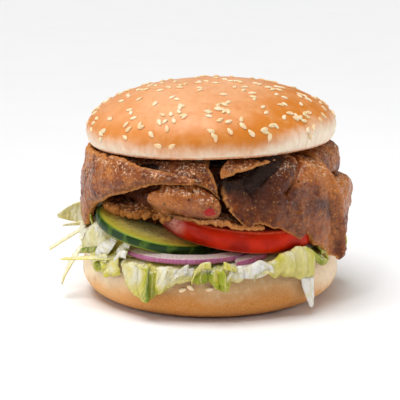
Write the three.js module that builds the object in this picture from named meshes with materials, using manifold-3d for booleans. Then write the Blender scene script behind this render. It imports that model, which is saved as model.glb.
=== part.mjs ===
// A lamb doner burger: a seeded bun filled with shaved doner meat, tomato, cucumber, red onion and lettuce.
// Millimetres, +Z up. The origin is the middle of the bun's flat base; -Y is the front, +X is to its right.
// Places round the bun are given as [bearing in degrees, radius, height]: bearing 0 is +X and -90 the front.

import * as THREE from "three";
import { mergeVertices } from "three/addons/utils/BufferGeometryUtils.js";
import Module from "manifold-3d";

const wasm = await Module();
wasm.setup();

// ---- Driving dimensions ----

const GAP = 0.3; // air left between two pieces that rest on each other
const SMOOTHED = 0.05; // corners flatter than this are dropped once a piece is cut
const LEAF_SMOOTHED = 0.14; // and in the lettuce, which is crumpled all over

const HEEL = { radius: 52, foot: 38, widestAt: 10.5, shoulderAt: 17.5, height: 22, dip: 0.8, swell: 0.5 };
const CROWN = {
  radius: 50.5, rim: 48.6, widestAt: 5.5, height: 25, at: [0, 0, 62.6], roll: -1.2, pitch: -1.1, swell: 0.45,
  lump: 0.3,
};
const SEED = { count: 136, length: 3.3, width: 2.1, thick: 1.2, sunk: 0.28, spread: 0.93 };

const TOMATO = { radius: 33.4, thick: 8.8, at: [11.6, -16, 36], roll: 5, pitch: 8.2, bevel: 1.8 };
const CUCUMBER = { radius: 25, thick: 3.7, at: [-20.5, -21.5, 31.6], roll: 12, pitch: 6.2, bevel: 0.5 };
const ONION = { section: 4.6, height: 2.4 };

const BUN_SIDES = 34;
const SLICE = 3.4; // a shaved slice of doner
const SLICE_RELIEF = 0.8; // how rough its two faces are
const SLICE_TEAR = 0.045; // the share of its length that each tear takes off its hem
const PILE = { radius: 39.5, from: 34, to: 58, lump: 1.4 };

const LEAF = 1.1; // a leaf of lettuce
const LEAF_WAVE = 0.8; // how far a hanging leaf waves in and out
const LEAF_ROOT = { radius: 43, height: 23.1 }; // where a hanging leaf is tucked in
const BED = {
  radius: 48, from: HEEL.height + 0.4, to: 31, sides: 16, leftRise: 4, leftSwell: 2, flattened: 0.88,
};
const SHREDS = { first: -24, last: 190, count: 8 };
const ROOM = { side: 1.5, above: 0.1 }; // more air round the tomato and cucumber, in the bed and the pile

const COLOURS = {
  crust: 0xd9964f, heel: 0xd8a867, roast: 0x7a4a2c, roastDark: 0x5f3820, crumb: 0x9a6438,
  tomato: 0xc23a1c, cucumber: 0x4f7a32, onion: 0x9a5a86, lettuce: 0xc9d67e,
};

// ---- Numbers, curves and solids ----

const radians = THREE.MathUtils.degToRad;
const place = (x, y, z) => new THREE.Vector3(x, y, z);
const round = ([bearing, radius, height]) =>
  place(radius * Math.cos(radians(bearing)), radius * Math.sin(radians(bearing)), height);

// Moves a point with its piece: pitch tips it down to the front, roll down to the right, then `at` places it.
function seated(point, { pitch, roll, at }) {
  return point.applyEuler(new THREE.Euler(radians(pitch), radians(roll), 0, "ZYX")).add(place(...at));
}

// A repeatable row of draws from 0 to 1.
function draws(seed) {
  let state = seed;
  return () => (state = (state * 16807) % 2147483647) / 2147483647;
}

// Smooth lumps from -1 to 1, the same for the same point.
function lumps(p, size, seed = 0) {
  const [x, y, z] = [p.x / size, p.y / size, p.z / size];
  return (Math.sin(x * 1.7 + y * 1.1 + seed) + Math.sin(y * 2.3 - z * 1.3 + seed * 2.1) +
    Math.sin(z * 1.9 + x * 0.7 + seed * 3.7)) / 3;
}

// The point at t, from 0 to 1, on a smooth curve through evenly spaced points.
function along(points, t) {
  const last = points.length - 1;
  const step = Math.min(Math.floor(t * last), last - 1);
  const [a, b, c, d] = [-1, 0, 1, 2].map((k) => points[Math.min(Math.max(step + k, 0), last)]);
  const s = t * last - step;
  const blend = (p, q, r, w) =>
    q + 0.5 * s * (r - p + s * (2 * p - 5 * q + 4 * r - w + s * (3 * (q - r) + w - p)));
  return place(blend(a.x, b.x, c.x, d.x), blend(a.y, b.y, c.y, d.y), blend(a.z, b.z, c.z, d.z));
}

// A smooth surface through sections that all have the same number of places round the bun.
function loft(sections) {
  const rows = sections.map((section) => section.map(round));
  return (u, v) => along(rows.map((row) => along(row, v)), u);
}

function solidOf(geometry) {
  const bare = new THREE.BufferGeometry();
  bare.setAttribute("position", geometry.getAttribute("position"));
  bare.setIndex(geometry.index);
  const merged = mergeVertices(bare, 1e-4);
  const vertProperties = merged.getAttribute("position").array;
  const triVerts = new Uint32Array(merged.index.array);
  const made = new wasm.Manifold(new wasm.Mesh({ numProp: 3, vertProperties, triVerts }));
  if (made.volume() > 0) return made;
  return new wasm.Manifold(new wasm.Mesh({ numProp: 3, vertProperties, triVerts: triVerts.reverse() }));
}

const join = (solids) => solids.reduce((whole, solid) => whole.add(solid));
const without = (solid, cutters) => cutters.reduce((rest, cutter) => rest.subtract(cutter), solid);
const biggest = (solid) => solid.decompose().reduce((a, b) => (a.volume() > b.volume() ? a : b));

// A closed slab round the surface(u, v): both faces are split into triangles alike, and the edges thin out.
// Its thickness is a number or a rule of (u, v), and grow adds that much on every side.
function slab(surface, { across, down, thick, edge = 0.45, grow = 0, relief = 0, seed = 0 }) {
  const positions = [];
  const faces = [];
  const nudge = 1e-3;
  const thickAt = typeof thick === "function" ? thick : () => thick;
  const at = (side, i, j) => (side * (across + 1) + i) * (down + 1) + j;
  for (const side of [0, 1]) {
    for (let i = 0; i <= across; i++) {
      for (let j = 0; j <= down; j++) {
        const [u, v] = [i / across, j / down];
        const alongU = surface(Math.min(u + nudge, 1), v).sub(surface(Math.max(u - nudge, 0), v)).normalize();
        const alongV = surface(u, Math.min(v + nudge, 1)).sub(surface(u, Math.max(v - nudge, 0))).normalize();
        const up = alongU.clone().cross(alongV).normalize();
        const onEdge = i === 0 || j === 0 || i === across || j === down;
        const point = surface(u, v);
        const bump = relief * lumps(point, 5, seed + side);
        const half = (thickAt(u, v) / 2) * (onEdge ? edge : 1) + (onEdge ? 0 : bump / 2) + grow;
        point.addScaledVector(up, side ? half : -half);
        if (grow && i === 0) point.addScaledVector(alongU, -grow);
        if (grow && i === across) point.addScaledVector(alongU, grow);
        if (grow && j === 0) point.addScaledVector(alongV, -grow);
        if (grow && j === down) point.addScaledVector(alongV, grow);
        positions.push(point.x, point.y, point.z);
      }
    }
  }
  for (let i = 0; i < across; i++) {
    for (let j = 0; j < down; j++) {
      for (const side of [0, 1]) {
        const [a, b, c, d] = [at(side, i, j), at(side, i + 1, j), at(side, i + 1, j + 1), at(side, i, j + 1)];
        faces.push(...(side ? [a, b, c, a, c, d] : [a, c, b, a, d, c]));
      }
    }
  }
  const wall = (i, j, k, l) => {
    const [a, b, c, d] = [at(0, i, j), at(0, k, l), at(1, k, l), at(1, i, j)];
    faces.push(a, b, c, a, c, d);
  };
  for (let i = 0; i < across; i++) {
    wall(i, 0, i + 1, 0);
    wall(i + 1, down, i, down);
  }
  for (let j = 0; j < down; j++) {
    wall(0, j + 1, 0, j);
    wall(across, j, across, j + 1);
  }
  const geometry = new THREE.BufferGeometry();
  geometry.setAttribute("position", new THREE.Float32BufferAttribute(positions, 3));
  geometry.setIndex(faces);
  return solidOf(geometry);
}

// A turned solid about +Z from a profile of [radius, height], with each vertex moved by warp.
function turned(profile, sides, warp = (p) => p) {
  const outline = profile.map(([radius, height]) => new THREE.Vector2(radius, height));
  const geometry = new THREE.LatheGeometry(outline, sides).rotateX(Math.PI / 2);
  const position = geometry.getAttribute("position");
  for (let i = 0; i < position.count; i++) {
    const moved = warp(new THREE.Vector3().fromBufferAttribute(position, i));
    position.setXYZ(i, moved.x, moved.y, moved.z);
  }
  return solidOf(geometry);
}

// A row of profile points on a quarter or part of an ellipse about [radius, height].
function arc([radius, height], [reach, rise], from, to, steps) {
  const points = [];
  for (let k = 0; k <= steps; k++) {
    const angle = radians(from + ((to - from) * k) / steps);
    points.push([radius + reach * Math.cos(angle), height + rise * Math.sin(angle)]);
  }
  return points;
}

// ---- Bun ----

// Moves a point of the bun out and in a little, as dough rises unevenly.
function uneven(p, depth, seed) {
  const bearing = Math.atan2(p.y, p.x);
  const swell = Math.sin(2 * bearing + seed) + 0.6 * Math.sin(3 * bearing + seed * 2) +
    0.35 * Math.sin(5 * bearing + seed * 3);
  return depth * swell;
}

function heel(grow = 0) {
  const { radius, foot, widestAt, shoulderAt, height, dip, swell } = HEEL;
  const profile = [
    [0, 0],
    ...arc([foot, widestAt], [radius - foot, widestAt], -90, 0, 4),
    [radius - 0.3, shoulderAt - 3],
    [radius - 1.2, shoulderAt],
    [radius - 3, height - 1],
    [radius - 5.5, height],
    [radius * 0.5, height - dip],
    [0, height - dip],
  ];
  return turned(profile, BUN_SIDES, (p) => {
    const out = 1 + (uneven(p, swell, 1.3) * (p.z / height) + grow) / radius;
    const lift = p.z > height - 2 ? grow : 0;
    return place(p.x * out, p.y * out, p.z + lift);
  });
}

// The crown's outer skin: share 0 is the apex and share 1 the widest ring.
function crownSkin(share, bearing) {
  const { radius, widestAt, height } = CROWN;
  const lean = (share * Math.PI) / 2;
  const p = place(
    radius * Math.sin(lean) * Math.cos(bearing),
    radius * Math.sin(lean) * Math.sin(bearing),
    widestAt + (height - widestAt) * Math.cos(lean),
  );
  return unevenCrown(p);
}

function unevenCrown(p) {
  const { radius, height, swell, lump } = CROWN;
  const out = 1 + (uneven(p, swell, 0.4) * Math.hypot(p.x, p.y)) / radius ** 2;
  return place(p.x * out, p.y * out, p.z + lump * lumps(p, 14, 5) * Math.min(1, p.z / height));
}

function seedAt(point, outward, turn) {
  const { length, width, thick, sunk } = SEED;
  const geometry = new THREE.SphereGeometry(1, 6, 2).rotateX(Math.PI / 2);
  const position = geometry.getAttribute("position");
  for (let i = 0; i < position.count; i++) {
    const [x, y, z] = [position.getX(i), position.getY(i), position.getZ(i)];
    const taper = 1 - 0.3 * x; // one end of a sesame seed is blunt, the other pointed
    position.setXYZ(i, (x * length) / 2, (y * width * taper) / 2, (z * thick) / 2);
  }
  const stand = new THREE.Quaternion().setFromUnitVectors(place(0, 0, 1), outward);
  const spin = new THREE.Quaternion().setFromAxisAngle(outward, turn);
  geometry.applyQuaternion(stand).applyQuaternion(spin);
  const lift = point.clone().addScaledVector(outward, (0.5 - sunk) * thick);
  geometry.translate(lift.x, lift.y, lift.z);
  for (let i = 0; i < position.count; i++) {
    const moved = seated(new THREE.Vector3().fromBufferAttribute(position, i), CROWN);
    position.setXYZ(i, moved.x, moved.y, moved.z);
  }
  return solidOf(geometry);
}

// The seeds lie on a golden spiral from the apex outwards, each shifted and turned by a draw.
function crownSeeds() {
  const draw = draws(2024);
  const golden = radians(137.508); // the golden angle spreads the seeds evenly
  const seeds = [];
  for (let i = 0; i < SEED.count; i++) {
    const share = SEED.spread * Math.sqrt((i + 0.5) / SEED.count) + 0.05 * (draw() - 0.5);
    const bearing = i * golden + 0.45 * (draw() - 0.5);
    const turn = 2 * Math.PI * draw();
    const point = crownSkin(share, bearing);
    const outward = crownSkin(share + 0.01, bearing).sub(point)
      .cross(crownSkin(share, bearing + 0.01).sub(point)).normalize();
    seeds.push(seedAt(point, outward, turn));
  }
  return seeds;
}

function crownBody(grow = 0) {
  const { radius, rim, widestAt, height } = CROWN;
  const profile = [
    [0, 0],
    [rim - 3, 0],
    [rim, 0.4],
    [(rim + radius) / 2 + 0.3, widestAt * 0.42],
    ...arc([0, widestAt], [radius, height - widestAt], 0, 90, 9),
  ];
  profile[profile.length - 1][0] = 0;
  return turned(profile, BUN_SIDES, (p) => {
    const moved = unevenCrown(p);
    const out = 1 + grow / radius;
    const bottom = p.z < widestAt ? grow : 0;
    return seated(place(moved.x * out, moved.y * out, moved.z - bottom), CROWN);
  });
}

// ---- Salad ----

// A cut round of vegetable: flat faces, a rounded rim, a slightly uneven outline, tilted as it lies.
function roundSlice(slice, grow = 0, sides = 30) {
  const { radius, thick, bevel } = slice;
  const half = thick / 2 + grow;
  const reach = radius + grow;
  const profile = [
    [0, -half],
    [reach - bevel, -half],
    ...arc([reach - bevel, 0], [bevel, half * 0.8], -60, 60, 3),
    [reach - bevel, half],
    [0, half],
  ];
  return turned(profile, sides, (p) => {
    const out = 1 + uneven(p, 0.3, 2.2) / radius;
    return seated(place(p.x * out, p.y * out, p.z), slice);
  });
}

// The room that a slice takes up and all that lies above it, or below it where height is negative.
function roomFor(slice, height) {
  const [reach, half] = [slice.radius + ROOM.side, slice.thick / 2 + GAP + ROOM.above];
  const [low, high] = height > 0 ? [-half, height] : [height, half];
  return turned([[0, low], [reach, low], [reach, high], [0, high]], 14, (p) => seated(p, slice));
}

// Part of a cut onion ring, from one bearing to another round its own middle. It slopes down to the front
// and rises to the right by lean.
function onionRing({ at, radius, from, to, slope, lean }, grow = 0) {
  const { section, height: thick } = ONION;
  const ring = (u, v) => {
    const bearing = radians(from + (to - from) * u);
    const r = radius - section * (1 - v);
    const [x, y] = [r * Math.cos(bearing), r * Math.sin(bearing)];
    const height = at[2] + slope * y + lean * x + 0.3 * Math.sin(3 * bearing) - 0.8 * v;
    return place(at[0] + x, at[1] + y, height);
  };
  return slab(ring, { across: 16, down: 1, thick, edge: 0.9, grow });
}

const ONION_RINGS = {
  onion_ring: { at: [-7.8, -22.8, 27.2], radius: 28.8, from: -168, to: -22, slope: 0.07, lean: 0 },
  onion_ring_lower: { at: [2, -22, 24.3], radius: 28.2, from: -74, to: -46, slope: 0.07, lean: 0.155 },
};

// ---- Doner slices ----
// Each section runs from where the slice is tucked into the pile, over its shoulder, down to its hem.

const SLICES = {
  // The wide slice on the left is folded at its hem: its back layer shows dark under the crown.
  meat_left: [
    {
      across: 11, down: 4, thick: SLICE,
      sections: [
        [[-205, 24, 59.2], [-200, 38, 59.6], [-197, 45, 57.5], [-195, 47.4, 48], [-192, 50, 36.4]],
        [[-176, 24, 59.3], [-173, 38, 59.8], [-171, 44.6, 57.6], [-170, 47, 48], [-168, 50.2, 34]],
        [[-160, 24, 59.4], [-156, 38, 60], [-153, 44, 58], [-152, 46.4, 52], [-150, 49.6, 42.8]],
        [[-140, 24, 59.6], [-138, 38, 60.2], [-137, 43.6, 58.6], [-136, 45.8, 54.6], [-135, 49, 48.8]],
        [[-124, 24, 59.6], [-121, 38, 60.3], [-120, 44, 59.2], [-120, 46, 56.6], [-119, 49, 53.4]],
        [[-108, 24, 59.6], [-105, 38, 60.3], [-104, 44.6, 59.6], [-103, 46.8, 57.8], [-102, 48.6, 55.4]],
        [[-91, 24, 59.4], [-90.5, 38, 60.2], [-89.6, 46.4, 59.8], [-88, 48.2, 55.4], [-84.8, 49.4, 47.6]],
      ],
    },
    {
      across: 15, down: 4, thick: SLICE,
      sections: [
        [[-204, 47.8, 61], [-202, 49.8, 56], [-199, 50.8, 48], [-196, 50.8, 41], [-193, 50, 35]],
        [[-184, 48, 61], [-183, 49.6, 55], [-182, 50.8, 46], [-180, 51, 38], [-176, 50.6, 31]],
        [[-171, 48, 61.2], [-170, 49.4, 55], [-169.5, 50.8, 46], [-169, 51, 37], [-168, 50.4, 28.8]],
        [[-160, 48, 61.4], [-159, 49.8, 56], [-159, 51.2, 50], [-158.5, 50.8, 44], [-158, 48.8, 39.6]],
        [[-148, 48, 61.6], [-147, 50.8, 57.6], [-146, 52, 53], [-146, 51.6, 47.6], [-146, 49.4, 43.6]],
        [[-134, 48.4, 61.8], [-134, 50.8, 59], [-133, 52, 55.6], [-132, 51.4, 51.4], [-132, 49.2, 48.6]],
        [[-124.5, 49, 60], [-124.5, 50.8, 58.4], [-124, 51.8, 56.2],
         [-123.5, 51.2, 53.4], [-123, 49.4, 51.8]],
        [[-113, 49, 58.6], [-113, 50.6, 57.6], [-113, 51.2, 56.4], [-113, 50.8, 55.2], [-113, 49.2, 54]],
        [[-97, 48.6, 55.4], [-97, 49.6, 55.3], [-97, 50, 55.1], [-97, 49.8, 54.9], [-97, 48.8, 54.7]],
      ],
    },
  ],
  // The thick rolled slice in the middle of the front, and its lip that runs on along the tomato.
  meat_roll: [
    {
      across: 12, down: 6, edge: 0.5, bunch: 2,
      thick: (u, v) => (4 + 9.2 * Math.sin(Math.PI * (0.1 + 0.72 * u)) ** 0.8) * Math.sqrt(1.03 - v ** 5),
      sections: [
        [[-113, 34, 48.2], [-116, 42, 48], [-119.5, 49.2, 46.8]],
        [[-108, 32, 48.4], [-110, 42, 48.1], [-112, 50.6, 47.1]],
        [[-101, 30, 48.2], [-102, 42, 47.8], [-103, 51, 46.8]],
        [[-95, 30, 47.6], [-95, 42, 47], [-95, 51, 45.8]],
        [[-88, 32, 46], [-87, 42, 45], [-85.5, 50.4, 43.6]],
      ],
    },
    {
      across: 8, down: 2, thick: 2.4,
      sections: [
        [[-111, 38, 43], [-111, 44, 43], [-111, 49, 42.4]],
        [[-100, 36, 42], [-100, 44, 41.8], [-100, 50, 40.8]],
        [[-89, 38, 41], [-89, 45, 40.6], [-89, 50.4, 39]],
        [[-79, 40, 39.4], [-79, 46, 38.8], [-78, 51, 37.2]],
        [[-66, 44, 38], [-66, 48, 37], [-66, 50.8, 36]],
      ],
    },
  ],
  // The small crumbly slice that lies on the cucumber.
  meat_crumb: [
    {
      across: 10, down: 4, edge: 0.6,
      thick: (u) => 3 + 3.4 * Math.sin(Math.PI * (0.12 + 0.8 * u)),
      sections: [
        [[-171, 26, 42], [-170, 36, 41.4], [-169, 43.4, 39.6]],
        [[-155, 26, 42.4], [-156, 37, 41], [-157, 46.6, 38.8]],
        [[-140, 26, 42], [-141, 36, 40.6], [-142, 46, 37.8]],
        [[-126, 28, 41], [-126, 35, 40], [-127, 41.6, 37]],
        [[-113, 30, 40.6], [-113, 35, 39.8], [-113, 39.8, 37.4]],
      ],
    },
  ],
  // The wide slice that tents over the right side: hollow at the left, two ridges, a corner and an ear.
  meat_right: [
    {
      across: 18, down: 8, thick: SLICE,
      sections: [
        [[-70, 30, 54], [-79, 39, 55], [-86, 46.6, 54.8],
         [-86, 49.4, 50.4], [-82.5, 51, 44], [-75, 51.4, 37.6]],
        [[-60, 26, 56], [-68, 35, 57.4], [-75, 39.6, 54.6],
         [-75, 45.8, 49], [-71, 50.8, 43.2], [-68, 52, 37]],
        [[-50, 26, 58], [-58, 39, 60.6], [-63, 46, 57.6],
         [-66.5, 50.6, 51.4], [-65, 51.6, 44], [-60.5, 52, 36]],
        [[-40, 26, 58.8], [-52, 41, 61], [-54.5, 49.4, 59.4],
         [-57, 52.4, 53.4], [-57, 52.4, 44], [-53.5, 52.2, 32.6]],
        [[-30, 26, 58.6], [-44, 41, 61], [-47, 50.2, 58.8],
         [-47.5, 52.8, 52], [-47.5, 52.8, 41], [-45.5, 52.4, 28]],
        [[-20, 26, 57.6], [-35, 41, 59.6], [-40, 51.4, 56.6],
         [-36.5, 54, 49.6], [-35, 53.8, 38], [-35.5, 53, 24.2]],
        [[-8, 28, 54], [-24, 40, 55.6], [-30, 50, 52], [-27, 53.6, 44], [-24.5, 53, 32], [-21, 53, 17.8]],
        [[4, 34, 48], [-6, 44, 49.6], [-14, 53.4, 48.2],
         [-14, 55.8, 42], [-16, 54.6, 33], [-16.5, 53.6, 20.6]],
        [[16, 36, 46.4], [8, 46, 47.4], [2, 54.6, 46], [1, 56.2, 40], [-2, 55, 32], [-4, 53.6, 25]],
        [[28, 36, 46], [24, 44, 46.6], [20, 51.6, 44.4], [18, 53.4, 38], [16, 53, 32], [15, 52.6, 28]],
      ],
    },
  ],
  // The curled sliver between the crown and the hollow of the right slice.
  meat_sliver: [
    {
      across: 7, down: 4, thick: 1.9,
      sections: [
        [[-74, 30, 61], [-80, 40, 61.3], [-84, 44.6, 60.6], [-86, 46.4, 58.4], [-85.8, 47, 55.6]],
        [[-68, 30, 61], [-72, 40, 61.4], [-73, 44.8, 61.2], [-73.4, 47, 60.6], [-73.2, 48.2, 59.2]],
        [[-56, 30, 61], [-57, 40, 61.4], [-58, 44.6, 61.8], [-58.6, 46.8, 62], [-59, 48.2, 62]],
      ],
    },
  ],
  // The slice that hangs from under the crown at the right, behind the tented one.
  meat_right_back: [
    {
      across: 7, down: 4, thick: SLICE,
      sections: [
        [[-30, 28, 60.8], [-31, 40, 61.2], [-32, 46.6, 60.4], [-32, 48.4, 56], [-32, 47.4, 53]],
        [[-10, 28, 61], [-10, 41, 61.6], [-11, 49, 60], [-12, 50.4, 55], [-13, 49, 51.6]],
        [[8, 28, 61], [8, 41, 61.6], [8, 49, 60.2], [8, 50.4, 55], [8, 49, 50.6]],
        [[28, 28, 60.8], [26, 41, 61.4], [24, 49, 60], [23, 50, 55], [22, 49, 50]],
      ],
    },
  ],
  // Three slices close the back of the burger.
  meat_rear_right: [
    {
      across: 6, down: 5, thick: SLICE,
      sections: [
        [[36, 28, 59.4], [32, 41, 60.6], [30, 50, 57], [29, 53, 47], [28, 52, 37]],
        [[56, 28, 59.6], [54, 41, 60.8], [52, 50.4, 57.4], [51, 53.4, 46], [50, 52.8, 33]],
        [[80, 28, 59.4], [78, 41, 60.6], [76, 49.4, 57.4], [75, 52, 49], [74, 50.8, 40]],
      ],
    },
  ],
  meat_rear_middle: [
    {
      across: 6, down: 5, thick: SLICE,
      sections: [
        [[84, 30, 54.4], [82, 40, 54.6], [81, 46.6, 51], [80, 49.2, 43], [79, 50, 35.6]],
        [[104, 30, 54.8], [103, 40, 55.4], [102, 48, 51.4], [101, 51, 42], [100, 51.6, 32]],
        [[126, 30, 54.4], [124, 40, 54.6], [122, 46.8, 50.4], [121, 49.6, 43], [120, 50, 36.6]],
      ],
    },
  ],
  meat_rear_left: [
    {
      across: 6, down: 5, thick: SLICE,
      sections: [
        [[90, 28, 60.6], [93, 41, 61.2], [96, 49, 59], [97, 51.4, 53], [98, 50.4, 46]],
        [[118, 28, 60.8], [119, 41, 61.4], [120, 50.8, 58.4], [120, 53.6, 48], [120, 53, 38]],
        [[146, 28, 60.6], [145, 41, 61.2], [144, 50, 57.4], [143, 52.6, 47], [143, 52, 37]],
      ],
    },
  ],
};

// A slice of one or two layers. Its hem is torn: its length changes from place to place.
function doner(layers, grow = 0) {
  return join(layers.map(({ sections, bunch = 1, ...rest }) => {
    const surface = loft(sections);
    const seed = sections[0][0][0];
    const torn = (u, v) => {
      const tear = SLICE_TEAR * (Math.sin(19 * u + seed) + 0.6 * Math.sin(37 * u + 2 * seed));
      return surface(u, (1 - (1 - v) ** bunch) * (1 - Math.max(0, tear)));
    };
    return slab(torn, { edge: 0.5, ...rest, grow, relief: grow ? 0 : SLICE_RELIEF, seed });
  }));
}

// What lies between the slices in the middle of the pile: smaller pieces pressed into one lump.
function pile(grow = 0) {
  const { radius, from, to, lump } = PILE;
  const middle = (from + to) / 2;
  const profile = [
    [0, from - grow],
    [radius - 3 + grow, from - grow],
    [radius + grow, middle],
    [radius - 4 + grow, to + grow],
    [0, to + grow],
  ];
  return turned(profile, 16, (p) => {
    const out = 1 + (lump * lumps(p, 5, 7)) / radius;
    return place(p.x * out, p.y * out, p.z);
  });
}

// ---- Lettuce ----

// A strip of leaf: it leaves `from` [bearing, radius, height] along `heading`, droops, waves and narrows.
function strip({ from, heading, length, width, droop, twist = 0 }) {
  const start = round(from);
  const way = radians(heading);
  const ahead = place(Math.cos(way), Math.sin(way), 0);
  const side = place(-Math.sin(way), Math.cos(way), 0);
  const surface = (u, v) => {
    const spread = (v - 0.5) * width * (1 - 0.5 * u * u);
    const lean = radians(twist);
    const ripple = 0.5 * Math.sin(5 * u + 7 * v + from[0]);
    const reach = length * (u - 0.4 * droop * u * u * u);
    return start.clone().addScaledVector(ahead, reach)
      .addScaledVector(side, spread * Math.cos(lean))
      .add(place(0, 0, spread * Math.sin(lean) - droop * length * u * u + ripple));
  };
  return slab(surface, { across: 3, down: 1, thick: LEAF });
}

// A leaf over the edge of the bun, spread from one bearing to another; tips are its heights along the hem.
function hangingLeaf({ from, to, tips, reach, across }) {
  const root = LEAF_ROOT;
  const surface = (u, v) => {
    const bearing = from + (to - from) * u;
    const tip = along(tips.map((height) => place(0, 0, height)), u).z;
    const turn = (v * Math.PI) / 2; // flat on the bun, then a tight bend over its shoulder
    const radius = root.radius + (reach - root.radius) * Math.sin(turn) ** 0.5;
    const height = tip + (root.height - tip) * Math.max(0, Math.cos(turn)) ** 0.5;
    return round([bearing, radius + LEAF_WAVE * Math.sin(0.45 * bearing + 2 * v) * v, height]);
  };
  return slab(surface, { across, down: 2, thick: LEAF, edge: 0.7 });
}

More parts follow.
